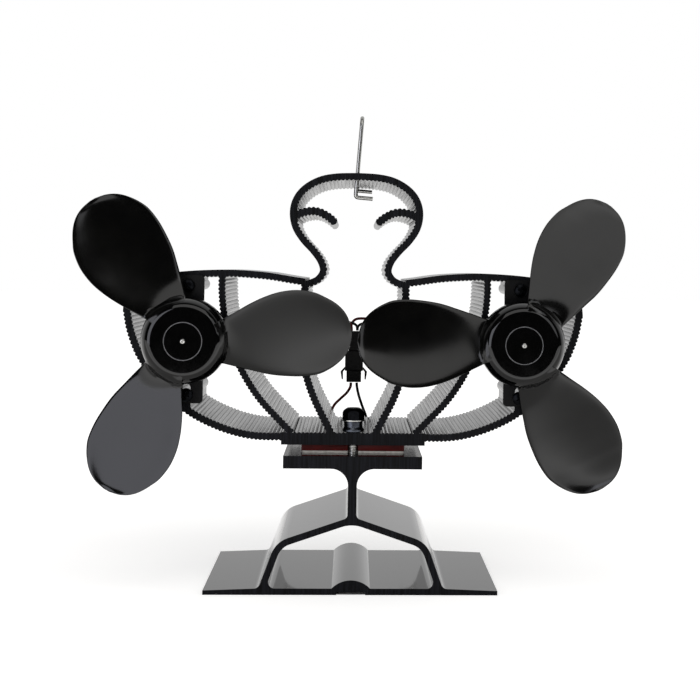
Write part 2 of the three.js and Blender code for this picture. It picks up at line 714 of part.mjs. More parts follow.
function heat_sink() {
  const right_half = [
    wall(bowl_line, bowl_wall),
    wall(arm_line, arm_wall),
    wall(bowl_curve(mid_rib_shares, 0, fan_x - can_radius), mid_rib_wall),
    wall(bowl_curve(inner_rib_shares, neck_x), inner_rib_wall),
    wall(head_curve(head_shares), head_wall),
    wall(head_curve(horn_shares), horn_wall, true),
    ...bosses(),
  ];
  const outlines = [plate_outline(), ...right_half, ...right_half.map(flipped)];
  const clamp_bore = bore_radius(clamp_screw_radius + seat_gap, small_sides);
  const clamp_holes = clamp_ends.map(([, y]) => (
    upright(rod(clamp_bore, sink_bottom - overrun, plate_top + overrun, small_sides)).translate(0, y, 0)));
  const head_top = neck_z + head_height;
  const handle_holes = [-handle_hole_y, handle_hole_y].map((y) => (
    upright(rod(handle_hole_radius, head_top - head_wall, head_top + head_wall, small_sides))
      .translate(0, y, 0)));
  const screw_bore = bore_radius(bracket_screw_radius + seat_gap, wire_sides);
  const screw_end = sink_front + bracket_screw_length - bracket_thickness + seat_gap;
  const screw_holes = [-fan_x, fan_x].flatMap((x) => boss_heights.map(([, z]) => (
    rod(screw_bore, sink_front - overrun, screw_end, wire_sides).translate(x, 0, z))));
  return carved(
    outlines.map((outline) => prism(outline, sink_front, sink_back)),
    [...clamp_holes, ...handle_holes, ...screw_holes]);
}

add(model, 'heat_sink', heat_sink(), finish.anodised);

// Clamp screws, the front one on a washer and a collar
const collar_bottom = plate_top + film_gap;
const collar_top = collar_bottom + collar_height;
const washer_bottom = collar_top + film_gap;
const washer_top = washer_bottom + clamp_washer_thickness;

function clamp_collar() {
  const bore = bore_radius(clamp_screw_radius + seat_gap, round_sides);
  return upright(turned_ring([
    [bore, collar_bottom],
    [collar_bottom_radius, collar_bottom],
    [collar_bottom_radius, collar_bottom + collar_lip],
    [collar_top_radius, collar_bottom + 2 * collar_lip],
    [collar_top_radius, collar_top],
    [bore, collar_top],
  ]));
}

function clamp_washer() {
  const bore = bore_radius(clamp_screw_radius + seat_gap, round_sides);
  return upright(turned_ring(ring_profile(bore, clamp_washer_radius, washer_bottom, washer_top)));
}

// A hexagon head with its top corners turned off, on a plain shank
function clamp_screw(head_bottom, head_height) {
  const head_top = head_bottom + head_height;
  const corner_radius = bore_radius(clamp_head_across / 2, 6);
  const hexagon = upright(rod(corner_radius, head_bottom, head_top, 6));
  const dome = upright(turned([
    [0, head_bottom - overrun],
    [corner_radius + overrun, head_bottom - overrun],
    [corner_radius + overrun, head_top - clamp_head_chamfer - overrun / 2],
    [corner_radius - clamp_head_chamfer, head_top],
    [0, head_top],
  ]));
  const shank = upright(rod(clamp_screw_radius, stand_height - clamp_screw_depth, head_bottom + film_gap,
    small_sides));
  return as_geometry(as_solid(hexagon).intersect(as_solid(dome)).add(as_solid(shank)));
}

const front_screw = clamp_screw(washer_top + film_gap, clamp_head_height);
const rear_screw = clamp_screw(plate_top + film_gap, rear_head_height);
add(model, 'clamp_screw_front', front_screw.translate(0, -clamp_y, 0), finish.black_screw);
add(model, 'clamp_screw_rear', rear_screw.translate(0, clamp_y, 0), finish.black_screw);
add(model, 'clamp_washer', clamp_washer().translate(0, -clamp_y, 0), finish.bright_steel);
add(model, 'clamp_collar', clamp_collar().translate(0, -clamp_y, 0), finish.bright_steel);

// Motor brackets, placed from the fan axis, and their screws
const bracket_back = sink_front - film_gap;
const bracket_front = bracket_back - bracket_thickness;
const motor_screw_places = [['upper', motor_screw_rise], ['lower', -motor_screw_rise]];

function motor_bracket() {
  const strap = rounded([
    [-bracket_half_width, -bracket_drop, bracket_corner],
    [bracket_half_width, -bracket_drop, bracket_corner],
    [bracket_half_width, bracket_rise, bracket_corner],
    [-bracket_half_width, bracket_rise, bracket_corner],
  ]);
  const hole = bracket_screw_radius + seat_gap;
  const slot = rounded([
    [-hole, -lower_screw_drop - hole, hole],
    [hole, -lower_screw_drop - hole, hole],
    [hole, slot_rise - lower_screw_drop + hole, hole],
    [-hole, slot_rise - lower_screw_drop + hole, hole],
  ]);
  const small_hole = bore_radius(motor_screw_radius + seat_gap, wire_sides);
  return prism(strap, bracket_front, bracket_back, [
    slot,
    disc(0, upper_screw_rise, bore_radius(hole, small_sides), small_sides),
    disc(0, 0, bore_radius(nose_radius + seat_gap, round_sides)),
    ...motor_screw_places.map(([, z]) => disc(0, z, small_hole, wire_sides)),
  ]);
}

// A pan head with a crossed slot in front of y_head and a shank behind it
function pan_screw(y_head, head_radius, head_height, shank_radius, shank_length) {
  const y_front = y_head - head_height;
  const screw = turned([
    [0, y_front],
    [head_radius / 2, y_front],
    [head_radius, y_front + head_height / 2],
    [head_radius, y_head],
    [shank_radius, y_head],
    [shank_radius, y_head + shank_length],
    [0, y_head + shank_length],
  ], small_sides);
  const arm = head_radius / 2;
  const slot = head_radius / 8;
  const floor = y_front + head_height / 2;
  return carved([screw], [
    block(-arm, arm, y_front - overrun, floor, -slot, slot),
    block(-slot, slot, y_front - overrun, floor, -arm, arm),
  ]);
}

for (const [side, x] of [['left', -fan_x], ['right', fan_x]]) {
  const place = new THREE.Group();
  place.position.set(x, 0, fan_z);
  model.add(place);
  add(place, `motor_bracket_${side}`, motor_bracket(), finish.bracket_paint);
  for (const [level, z] of boss_heights) {
    const screw = pan_screw(bracket_front - film_gap, bracket_head_radius, bracket_head_height,
      bracket_screw_radius, bracket_screw_length);
    add(place, `bracket_screw_${side}_${level}`, screw.translate(0, 0, z - fan_z), finish.black_screw);
  }
  for (const [level, z] of motor_screw_places) {
    const screw = pan_screw(bracket_front - film_gap, motor_head_radius, motor_head_height,
      motor_screw_radius, bracket_thickness + can_front + motor_screw_tail);
    add(place, `motor_screw_${side}_${level}`, screw.translate(0, 0, z), finish.bright_steel);
  }
}

// Motor, with Y measured back from the front of its can
const bush_bore = bore_radius(shaft_radius + running_gap, round_sides);
const bush_seat = bore_radius(bush_radius + film_gap, round_sides);
const tab_sides = [['plus', -tab_x], ['minus', tab_x]];

function motor_can() {
  const shell = turned_ring([
    [bush_seat, -nose_length],
    [nose_radius, -nose_length],
    [nose_radius, 0],
    [can_radius, 0],
    [can_radius, can_length],
    [can_radius - can_wall, can_length],
    [can_radius - can_wall, can_front],
    [bush_seat, can_front],
  ]);
  const bore = bore_radius(motor_screw_radius + seat_gap, wire_sides);
  return carved([shell], motor_screw_places.map(([, z]) => (
    rod(bore, -overrun, can_front + overrun, wire_sides).translate(0, 0, z))));
}

function motor_cap() {
  const rim = can_radius - can_wall - film_gap;
  const body = turned_ring([
    [bush_seat, can_length - cap_thickness],
    [rim, can_length - cap_thickness],
    [rim, can_length],
    [cap_boss_radius, can_length],
    [cap_boss_radius, can_length + cap_boss_length],
    [bush_seat, can_length + cap_boss_length],
  ]);
  const half_width = tab_half_width + seat_gap;
  const half_thickness = tab_thickness / 2 + seat_gap;
  return carved([body], tab_sides.map(([, x]) => block(
    x - half_thickness, x + half_thickness, 0, can_length + overrun, -half_width, half_width)));
}

function motor_magnet() {
  const outer = can_radius - can_wall - film_gap;
  return turned_ring(ring_profile(
    outer - magnet_thickness, outer, magnet_start, magnet_start + magnet_length));
}

function bush(y_low, length) {
  return turned_ring(ring_profile(bush_bore, bush_radius, y_low, y_low + length));
}

// A terminal tab through the cap, with a leaf that runs in to the commutator
function brush(x) {
  const leaf_back = can_length - cap_thickness - leaf_gap;
  const leaf_front = leaf_back - tab_thickness;
  const near = Math.sign(x) * (commutator_radius + running_gap);
  const outer = x + Math.sign(x) * (tab_thickness / 2);
  return carved([
    block(x - tab_thickness / 2, x + tab_thickness / 2, leaf_front, can_length + tab_length,
      -tab_half_width, tab_half_width),
    block(Math.min(near, outer), Math.max(near, outer), leaf_front, leaf_back,
      -leaf_half_width, leaf_half_width),
  ]);
}

// Rotor, turning with the shaft
function core_pole(turn) {
  const arm = block(-core_arm_half_width, core_arm_half_width, core_start, core_start + core_length,
    0, core_radius - core_shoe / 2);
  const shoe_bottom = core_radius - core_shoe;
  const shoe = block(-core_shoe_half_width, core_shoe_half_width, core_start, core_start + core_length,
    shoe_bottom, core_radius + overrun);
  return [arm.rotateY(turn), shoe.rotateY(turn)];
}

const pole_turns = Array.from({ length: core_poles }, (_, i) => (2 * Math.PI * i) / core_poles);

function rotor_core() {
  const core_end = core_start + core_length;
  const hub = rod(core_hub_radius, core_start, core_end);
  const round = as_solid(rod(core_radius, core_start, core_end));
  const poles = pole_turns.flatMap(core_pole).map(as_solid).reduce((sum, next) => sum.add(next));
  const bore = rod(bore_radius(shaft_radius + film_gap, round_sides), core_start - overrun,
    core_end + overrun);
  return as_geometry(poles.intersect(round).add(as_solid(hub)).subtract(as_solid(bore)));
}

// Three coils round the arms of the core, joined by the ring of their ends
function rotor_coils() {
  const low = core_start - coil_overhang;
  const high = core_start + core_length + coil_overhang;
  const arm_half = core_arm_half_width + seat_gap;
  const coils = pole_turns.map((turn) => block(
    -coil_half_width, coil_half_width, low, high, coil_inner_radius, coil_outer_radius).rotateY(turn));
  const slots = pole_turns.map((turn) => block(
    -arm_half, arm_half, core_start - seat_gap, core_start + core_length + seat_gap,
    0, coil_outer_radius + overrun).rotateY(turn));
  const ring_start = core_start + core_length + seat_gap;
  const ring = turned_ring(ring_profile(shaft_radius + seat_gap, coil_inner_radius + overrun, ring_start,
    high));
  return carved([...coils, ring], slots);
}

function commutator() {
  const end = commutator_start + commutator_length;
  const ring = turned_ring(ring_profile(bore_radius(shaft_radius + film_gap, round_sides),
    commutator_radius, commutator_start, end));
  const cuts = pole_turns.map((turn) => block(-commutator_slot / 2, commutator_slot / 2,
    commutator_start + commutator_slot, end + overrun,
    (shaft_radius + commutator_radius) / 2, commutator_radius + overrun).rotateY(turn));
  return carved([ring], cuts);
}

// Propeller, with Y measured back from the face of its hub
const hub_face = bracket_front - hub_standoff - hub_depth;

// A blade swept out along X; its chord runs along Z with the upper edge to the front
function blade() {
  const chord_steps = 4;
  const corners = [];
  const root_share = blade_shares[0][0];
  for (const [reach, width, rise] of blade_shares) {
    const share = (reach - root_share) / (1 - root_share);
    const half_chord = blade_half_chord * width;
    const slope = THREE.MathUtils.lerp(root_slope_share, tip_slope_share, share);
    const thickness = THREE.MathUtils.lerp(blade_root_thickness, blade_tip_thickness, share);
    for (const face of [-1, 1]) {
      for (let j = 0; j < chord_steps; j += 1) {
        const across = face * (1 - (2 * j) / chord_steps);
        const z = across * half_chord;
        const crown = 1 - across ** 2;
        const skin = (face * (thickness / 2)) * Math.sqrt(crown);
        const y = hub_depth / 2 - slope * z + blade_camber * crown * width + skin;
        corners.push(reach * blade_tip_radius, y, z + rise * blade_half_chord);
      }
    }
  }
  const around = 2 * chord_steps;
  const faces = [];
  for (let i = 0; i < blade_shares.length - 1; i += 1) {
    for (let j = 0; j < around; j += 1) {
      const next = (j + 1) % around;
      const [a, b] = [i * around + j, i * around + next];
      const [c, d] = [a + around, b + around];
      faces.push(a, b, d, a, d, c);
    }
  }
  const last = (blade_shares.length - 1) * around;
  for (let j = 1; j < around - 1; j += 1) {
    faces.push(0, j + 1, j, last, last + j, last + j + 1);
  }
  const geometry = new THREE.BufferGeometry();
  geometry.setAttribute('position', new THREE.BufferAttribute(Float32Array.from(corners), 3));
  geometry.setIndex(faces);
  return geometry;
}

// The hub's outside: a flat face with a turned ring in it, a domed shoulder and a short skirt
function hub_outside() {
  const shoulder_steps = 4;
  const profile = [[0, 0]];
  for (const [radius, y] of [[-1, 0], [-1, 1], [1, 1], [1, 0]]) {
    profile.push([ring_radius + (radius * ring_width) / 2, y * ring_depth]);
  }
  for (let i = 0; i <= shoulder_steps; i += 1) {
    const angle = (Math.PI / 2) * (i / shoulder_steps);
    profile.push([
      hub_flat_radius + (hub_radius - hub_flat_radius) * Math.sin(angle),
      hub_dome_depth * (1 - Math.cos(angle)),
    ]);
  }
  return turned([...profile, [hub_radius, hub_depth], [0, hub_depth]]);
}

// The hollow inside the hub, round its central boss
function hub_hollow() {
  const shoulder_steps = 3;
  const outer = hub_radius - hub_wall;
  const profile = [[hub_boss_radius, hub_depth + overrun], [hub_boss_radius, 2 * hub_wall]];
  for (let i = 0; i <= shoulder_steps; i += 1) {
    const angle = (Math.PI / 2) * (i / shoulder_steps);
    profile.push([
      hub_flat_radius - hub_wall + (outer - hub_flat_radius + hub_wall) * Math.sin(angle),
      2 * hub_wall + (hub_dome_depth - hub_wall) * (1 - Math.cos(angle)),
    ]);
  }
  return turned_ring([...profile, [outer, hub_depth + overrun]]);
}

function propeller() {
  const wings = Array.from({ length: blades }, (_, i) => blade().rotateY((-2 * Math.PI * i) / blades));
  const bore = rod(bore_radius(shaft_radius + hub_fit, round_sides), -overrun, hub_depth + overrun);
  return carved([hub_outside(), ...wings], [hub_hollow(), bore]);
}

for (const [side, x, angle] of [['left', -fan_x, left_fan_angle], ['right', fan_x, right_fan_angle]]) {
  const motor = new THREE.Group();
  motor.position.set(x, sink_front, fan_z);
  model.add(motor);
  add(motor, `motor_can_${side}`, motor_can(), finish.bright_steel);
  add(motor, `motor_end_cap_${side}`, motor_cap(), finish.cap_plastic);
  add(motor, `motor_magnet_${side}`, motor_magnet(), finish.magnet);
  add(motor, `front_bush_${side}`, bush(-nose_length, front_bush_length), finish.sintered);
  add(motor, `rear_bush_${side}`, bush(can_length + cap_boss_length - rear_bush_length, rear_bush_length),
    finish.sintered);
  for (const [pole, tab] of tab_sides) {
    add(motor, `brush_${side}_${pole}`, brush(tab), finish.copper);
  }
  const rotor = new THREE.Group();
  rotor.rotation.y = -angle;
  motor.add(rotor);
  const shaft_front = hub_face - sink_front - shaft_proud;
  add(rotor, `motor_shaft_${side}`, rod(shaft_radius, shaft_front, can_length + shaft_tail),
    finish.bright_steel);
  add(rotor, `rotor_core_${side}`, rotor_core(), finish.lamination);
  add(rotor, `rotor_coils_${side}`, rotor_coils(), finish.copper);
  add(rotor, `commutator_${side}`, commutator(), finish.copper);
  add(rotor, `propeller_${side}`, propeller().translate(0, hub_face - sink_front, 0),
    finish.blade_plastic);
}

// Bail handle, drawn about the middle of the head's top wall
function bend(corner, before, after, radius) {
  const start = before.clone().sub(corner).setLength(radius).add(corner);
  const end = after.clone().sub(corner).setLength(radius).add(corner);
  return new THREE.QuadraticBezierCurve3(start, corner, end);
}

function handle() {
  const half = handle_hole_y * Math.cos(handle_pitch);
  const corners = [
    new THREE.Vector3(hook_length, -half, -front_hook_drop),
    new THREE.Vector3(0, -half, -front_hook_drop),
    new THREE.Vector3(0, -half, handle_height),
    new THREE.Vector3(0, half, handle_height),
    new THREE.Vector3(0, half, -rear_hook_drop),
    new THREE.Vector3(hook_length, half, -rear_hook_drop),
  ];
  const radii = [0, hook_corner, handle_corner, handle_corner, hook_corner, 0];
  const points = [corners[0]];
  for (let i = 1; i < corners.length - 1; i += 1) {
    const curve = bend(corners[i], corners[i - 1], corners[i + 1], radii[i]);
    const steps = Math.ceil(Math.PI / 2 / arc_step);
    points.push(...curve.getPoints(steps));
  }
  points.push(corners.at(-1));
  return swept(points, handle_wire_radius, wire_sides);
}

// A tube straight from point to point, square across at each
function swept(points, radius, sides) {
  const corners = [];
  const across = new THREE.Vector3();
  const heading = new THREE.Vector3().subVectors(points[1], points[0]).normalize();
  across.set(0, 0, 1).cross(heading).normalize();
  points.forEach((point, i) => {
    const before = points[Math.max(i - 1, 0)];
    const after = points[Math.min(i + 1, points.length - 1)];
    const along = new THREE.Vector3().subVectors(after, before).normalize();
    across.addScaledVector(along, -across.dot(along)).normalize();
    const up = new THREE.Vector3().crossVectors(along, across);
    for (let j = 0; j < sides; j += 1) {
      const angle = (2 * Math.PI * j) / sides;
      const rim = point.clone().addScaledVector(across, radius * Math.cos(angle));
      corners.push(...rim.addScaledVector(up, radius * Math.sin(angle)));
    }
  });
  const faces = [];
  for (let i = 0; i < points.length - 1; i += 1) {
    for (let j = 0; j < sides; j += 1) {
      const [a, b] = [i * sides + j, i * sides + ((j + 1) % sides)];
      faces.push(a, b, b + sides, a, b + sides, a + sides);
    }
  }
  const last = (points.length - 1) * sides;
  for (let j = 1; j < sides - 1; j += 1) {
    faces.push(0, j + 1, j, last, last + j, last + j + 1);
  }
  const geometry = new THREE.BufferGeometry();
  geometry.setAttribute('position', new THREE.BufferAttribute(Float32Array.from(corners), 3));
  geometry.setIndex(faces);
  return geometry;
}

const handle_place = new THREE.Group();
handle_place.position.z = neck_z + head_height;
handle_place.rotation.set(handle_pitch, handle_lean, 0, 'YXZ');
model.add(handle_place);
add(handle_place, 'handle', handle(), finish.bright_steel);

// Lead connector
const connector_top = sink_bottom + connector_rise;
const socket_top = connector_top - plug_length;
const socket_bottom = socket_top - socket_length;

function connector_plug() {
  const tongue_half_width = plug_half_width - plug_tongue_wall;
  const tongue_half_depth = plug_half_depth - plug_tongue_wall;
  return carved([
    block(-plug_half_width, plug_half_width, connector_y - plug_half_depth,
      connector_y + plug_half_depth, socket_top + film_gap, connector_top),
    block(-tongue_half_width, tongue_half_width, connector_y - tongue_half_depth,
      connector_y + tongue_half_depth, socket_top - plug_tongue, connector_top - overrun),
  ]);
}

function connector_socket() {
  const root = socket_half_width - latch_width / 2;
  const latches = [-1, 1].map((side) => prism([
    [root, -latch_start],
    [latch_reach, -latch_elbow],
    [latch_reach - latch_width / 2, -latch_end],
    [latch_reach - latch_width, -latch_end],
    [latch_reach - latch_width, -latch_elbow],
    [root, -latch_start - latch_width],
  ].map(([x, z]) => new THREE.Vector2(side * x, socket_top + z)),
  connector_y - latch_half_depth, connector_y + latch_half_depth));
  const room_half_width = plug_half_width - plug_tongue_wall + seat_gap;
  const room_half_depth = plug_half_depth - plug_tongue_wall + seat_gap;
  return carved([
    block(-socket_half_width, socket_half_width, connector_y - socket_half_depth,
      connector_y + socket_half_depth, socket_bottom, socket_top),
    block(-socket_tail_half_width, socket_tail_half_width, connector_y - socket_tail_half_depth,
      connector_y + socket_tail_half_depth, socket_bottom - socket_tail_length, socket_bottom + overrun),
    ...latches,
  ], [
    block(-room_half_width, room_half_width, connector_y - room_half_depth,
      connector_y + room_half_depth, socket_top - plug_tongue - seat_gap, socket_top + overrun),
  ]);
}

add(model, 'connector_plug', connector_plug(), finish.cap_plastic);
add(model, 'connector_socket', connector_socket(), finish.cap_plastic);

// Leads
const leads = new THREE.Group();
leads.position.z = sink_bottom;
model.add(leads);

function lead(route) {
  const curve = new THREE.CatmullRomCurve3(route.map((point) => new THREE.Vector3(...point)));
  return tube(curve, lead_radius, lead_sides, lead_step);
}

add(leads, 'motor_lead_left_red', lead(left_red_route), finish.red_lead);
add(leads, 'motor_lead_left_black', lead(left_black_route), finish.black_lead);
add(leads, 'motor_lead_right_red', lead(right_red_route), finish.red_lead);
add(leads, 'motor_lead_right_black', lead(right_black_route), finish.black_lead);
add(leads, 'module_lead_red', lead(module_red_route), finish.red_lead);
add(leads, 'module_lead_black', lead(module_black_route), finish.black_lead);

// The origin is the middle of the fan's outer box, at the floor
model.updateMatrixWorld(true);
const outer_box = new THREE.Box3().setFromObject(model, true);
const middle = outer_box.getCenter(new THREE.Vector3());
model.position.set(-middle.x, -middle.y, -outer_box.min.z);

export default model;
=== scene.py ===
"""The looks of a twin-propeller stove fan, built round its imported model.

Sizes are in millimetres, in the drawing's own frame: X along the two fans, Y from the front to
the back, Z up from the floor, with the stand centred on X and Y.
"""

import math

import bmesh
import bpy
from mathutils import Euler, Matrix, Vector
from mathutils.geometry import delaunay_2d_cdt


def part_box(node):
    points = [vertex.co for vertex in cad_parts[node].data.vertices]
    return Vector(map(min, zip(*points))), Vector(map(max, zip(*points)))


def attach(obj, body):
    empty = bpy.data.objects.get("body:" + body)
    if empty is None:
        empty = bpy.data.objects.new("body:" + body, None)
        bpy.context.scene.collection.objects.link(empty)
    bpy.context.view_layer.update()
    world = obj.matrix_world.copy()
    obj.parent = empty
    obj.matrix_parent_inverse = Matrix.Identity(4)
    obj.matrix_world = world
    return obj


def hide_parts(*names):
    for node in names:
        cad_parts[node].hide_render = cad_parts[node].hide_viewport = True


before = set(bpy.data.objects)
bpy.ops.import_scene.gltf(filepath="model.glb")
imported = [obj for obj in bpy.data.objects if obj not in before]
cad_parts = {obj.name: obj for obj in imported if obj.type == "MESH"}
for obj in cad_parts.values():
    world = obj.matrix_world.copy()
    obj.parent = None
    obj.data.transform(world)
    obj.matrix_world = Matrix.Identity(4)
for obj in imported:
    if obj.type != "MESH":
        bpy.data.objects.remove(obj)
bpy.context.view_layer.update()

stand_low, stand_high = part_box("base_stand")
stand_middle = (stand_low + stand_high) / 2
to_frame = Matrix.Translation((stand_middle.x, stand_middle.y, 0)) @ Matrix.Scale(0.001, 4)


# Camera and softboxes

camera_place, camera_turn, camera_roll = (-1.35, -621, 126.6), -3.66, 0.92


def make_camera():
    """The photograph's view: a long lens, level and shifted down, turned a little to the right."""
    data = bpy.data.cameras.new("photo_camera")
    data.sensor_width, data.lens = 36, 77.09
    data.shift_x, data.shift_y = -0.1404, -0.1150
    data.clip_start, data.clip_end = 0.05, 20
    camera = bpy.data.objects.new("photo_camera", data)
    bpy.context.collection.objects.link(camera)
    camera.location = to_frame @ Vector(camera_place)
    aim = Euler((math.radians(90), 0, math.radians(camera_turn)), "XYZ").to_matrix()
    roll = Matrix.Rotation(math.radians(camera_roll), 3, "Z")
    camera.rotation_euler = (aim @ roll).to_euler()
    bpy.context.scene.camera = camera


# Each softbox in metres: its place, size, colour, and how bright it is where it is mirrored
softboxes = {
    "cool_left": ((-0.69, -1.0, 0.3), (0.76, 0.6), (0.9, 0.91, 1.0), 2.2),
    "overhead": ((0.1, -0.72, 1.0), (1.2, 0.8), (1.0, 0.99, 0.97), 1.1),
    "far_right": ((0.78, -0.9, 0.58), (0.6, 0.7), (0.97, 0.98, 1.0), 1.1),
}


def make_softboxes():
    """Soft lamps that face the fan; a brightness of 1 is white where it is mirrored."""
    for name, (place, size, colour, brightness) in softboxes.items():
        data = bpy.data.lights.new(name, "AREA")
        data.shape = "RECTANGLE"
        data.size, data.size_y = size
        data.color = colour
        data.energy = brightness * math.pi * size[0] * size[1]
        lamp = bpy.data.objects.new(name, data)
        bpy.context.collection.objects.link(lamp)
        lamp.location = place
        aim = Vector((0, 0, 0.1)) - Vector(place)
        lamp.rotation_euler = aim.to_track_quat("-Z", "Y").to_euler()


# Node and colour helpers

def linear(hex_colour):
    """An sRGB hex colour as linear red, green, blue and alpha."""
    channels = [int(hex_colour[i:i + 2], 16) / 255 for i in (1, 3, 5)]
    return (*[c / 12.92 if c <= 0.04045 else ((c + 0.055) / 1.055) ** 2.4 for c in channels], 1)


def add_node(tree, kind, inputs=(), **settings):
    """Adds a node, makes its settings, and sets or links its inputs.

    The inputs go by name, or in the node's own order. A node among them stands for its first
    output, and each node of a list is linked.
    """
    node = tree.nodes.new(kind)
    for name, value in settings.items():
        setattr(node, name, value)
    for name, value in inputs.items() if isinstance(inputs, dict) else enumerate(inputs):
        for source in value if isinstance(value, list) else [value]:
            if isinstance(source, bpy.types.Node):
                source = source.outputs[0]
            if isinstance(source, bpy.types.NodeSocket):
                tree.links.new(source, node.inputs[name])
            else:
                node.inputs[name].default_value = source
    return node


def grain(tree, size, detail=2.0):
    """A noise with grains of this size in millimetres, or of these sizes along X, Y and Z."""
    lengths = size if isinstance(size, tuple) else (size, size, size)
    place = add_node(tree, "ShaderNodeTexCoord").outputs["Object"]
    scaled = add_node(tree, "ShaderNodeMapping", {
        "Vector": place, "Scale": tuple(1000 / length for length in lengths)})
    return add_node(tree, "ShaderNodeTexNoise", {
        "Vector": scaled, "Scale": 1.0, "Detail": detail, "Roughness": 0.55})


def make_finish(name, colours, patches, roughness, streaks, relief, depth, sockets=None):
    """A surface with two shades in patches, a roughness that runs in streaks, and a relief.

    colours are two hex shades, roughness its two limits, patches, streaks and relief grain sizes
    in millimetres, and depth the height of the relief in millimetres.
    """
    material = bpy.data.materials.new(name)
    material.use_nodes = True
    tree = material.node_tree
    shader = tree.nodes["Principled BSDF"]
    for socket, value in (sockets or {}).items():
        shader.inputs[socket].default_value = value
    spread = add_node(tree, "ShaderNodeMapRange", [grain(tree, patches), 0.35, 0.65])
    shades = add_node(tree, "ShaderNodeMix", {
        0: spread, 6: linear(colours[0]), 7: linear(colours[1])}, data_type="RGBA")
    gloss = add_node(tree, "ShaderNodeMapRange", [grain(tree, streaks, 3.0), 0.3, 0.7, *roughness])
    bumps = add_node(tree, "ShaderNodeBump", {
        "Height": grain(tree, relief, 3.0), "Strength": 1.0, "Distance": depth / 1000})
    tree.links.new(shades.outputs[2], shader.inputs["Base Color"])
    tree.links.new(gloss.outputs["Result"], shader.inputs["Roughness"])
    tree.links.new(bumps.outputs["Normal"], shader.inputs["Normal"])
    return material


# Finishes

# Black anodised aluminium as it left the die: even and satin, with faint lines along the extrusion
anodised_extrusion = make_finish(
    "anodised_extrusion", ("#0e0e0f", "#131314"), (6, 80, 6), (0.05, 0.08), (2.5, 90, 2.5),
    (3, 120, 3), 0.002, {"IOR": 1.5})

# The same on the heat sink, whose fine grooves scatter the gloss
anodised_fins = make_finish(
    "anodised_fins", ("#0e0e0f", "#131314"), (6, 80, 6), (0.16, 0.24), (1.5, 90, 1.5),
    (1.6, 120, 1.6), 0.004, {"IOR": 1.45})

# The same anodised alloy where the saw cut it to length: upright saw marks in blue-black and grey.
# The real marks are about 0.1 mm apart; they are drawn at 0.5 mm so that they show.
anodised_saw_cut = make_finish(
    "anodised_saw_cut", ("#030304", "#16171c"), (0.5, 3, 14), (0.4, 0.55), (0.9, 4, 25),
    (0.5, 3, 16), 0.02, {"IOR": 1.22})

# Black glass-filled nylon from a polished mould: a deep gloss with a trace of flow
polished_nylon = make_finish(
    "polished_nylon", ("#020202", "#040404"), 9, (0.04, 0.07), 5, 6, 0.003, {"IOR": 1.53})

# The same nylon on the blades, from a satin mould face
satin_nylon = make_finish(
    "satin_nylon", ("#040404", "#070706"), 12, (0.12, 0.15), 6, 8, 0.003, {"IOR": 1.5})

# The scored ring on the hub's face: matt, and paler than the polish round it as a painted highlight
# where its step catches the light
scored_ring_painted_highlight = make_finish(
    "scored_ring_painted_highlight", ("#6c6c6e", "#8a8a8c"), 1, (0.5, 0.6), 1, 0.6, 0.01, {"IOR": 1.53})

# Black powder-coated sheet steel: a fine even orange peel that takes most of the gloss
coated_sheet = make_finish(
    "coated_sheet", ("#050505", "#08080a"), 4, (0.4, 0.5), 1, 0.8, 0.02, {"IOR": 1.28})

# Black-oxide screw steel: dark metal with an oily sheen
black_oxide_steel = make_finish(
    "black_oxide_steel", ("#101113", "#1b1c1f"), 1.5, (0.26, 0.36), 0.7, 0.7, 0.01,
    {"Metallic": 1.0})

# Nickel-plated steel of cans, shafts and washers: bright, faintly turned
plated_steel = make_finish(
    "plated_steel", ("#b9b9b6", "#cbcac6"), (2, 6, 2), (0.18, 0.28), (1.2, 5, 1.2), (1, 5, 1),
    0.006, {"Metallic": 1.0})

# Oiled steel of the collar: darker than the plated parts, with soft turning marks
oiled_steel = make_finish(
    "oiled_steel", ("#43464d", "#565a62"), (2, 6, 2), (0.2, 0.3), (1.2, 5, 1.2), (1, 5, 1), 0.006,
    {"Metallic": 1.0})

# Drawn stainless wire of the handle: bright with die lines along it
drawn_wire = make_finish(
    "drawn_wire", ("#a9a9a6", "#c6c6c2"), (0.6, 6, 12), (0.16, 0.26), (0.5, 8, 12), (0.5, 10, 14),
    0.004, {"Metallic": 1.0})

# Rolled thermostatic bimetal: a warm dull grey with rolling lines
rolled_bimetal = make_finish(
    "rolled_bimetal", ("#857d6c", "#978f7e"), (1, 20, 1), (0.3, 0.42), (0.8, 25, 0.8),
    (0.8, 30, 0.8), 0.01, {"Metallic": 1.0})

# Graphite foil: grey, flaky, slightly metallic
graphite_foil = make_finish(
    "graphite_foil", ("#353637", "#474849"), 1.2, (0.5, 0.7), 0.8, 0.8, 0.02, {"Metallic": 0.3})

# Fired alumina: an even off-white with a fine tooth
fired_alumina = make_finish(
    "fired_alumina", ("#d8d4cb", "#e6e2da"), 2, (0.5, 0.62), 0.8, 0.6, 0.01, {"IOR": 1.76})

# Pressed ceramic-fibre strip: off-white, soft and matt
ceramic_fibre = make_finish(
    "ceramic_fibre", ("#b5b1a8", "#cfcbc3"), (1.5, 1.5, 0.6), (0.7, 0.85), 0.8, 0.5, 0.05,
    {"IOR": 1.45})

# Dark red silicone, smeared by hand round the module: soft waves and a low gloss
red_silicone = make_finish(
    "red_silicone", ("#4a0805", "#600e0a"), (5, 5, 2), (0.4, 0.55), 2, (2.4, 2.4, 1.2), 0.08,
    {"IOR": 1.3})

# Bismuth telluride pellets: grey, crystalline, half metallic
telluride = make_finish(
    "telluride", ("#6a6b72", "#85868c"), 0.8, (0.3, 0.5), 0.7, 0.7, 0.01, {"Metallic": 0.8})

# Oil-filled sintered bronze: brown-gold and dull, with open pores
sintered_bronze = make_finish(
    "sintered_bronze", ("#8f6a3c", "#a57d4b"), 0.7, (0.42, 0.6), 0.5, 0.4, 0.03,
    {"Metallic": 1.0})

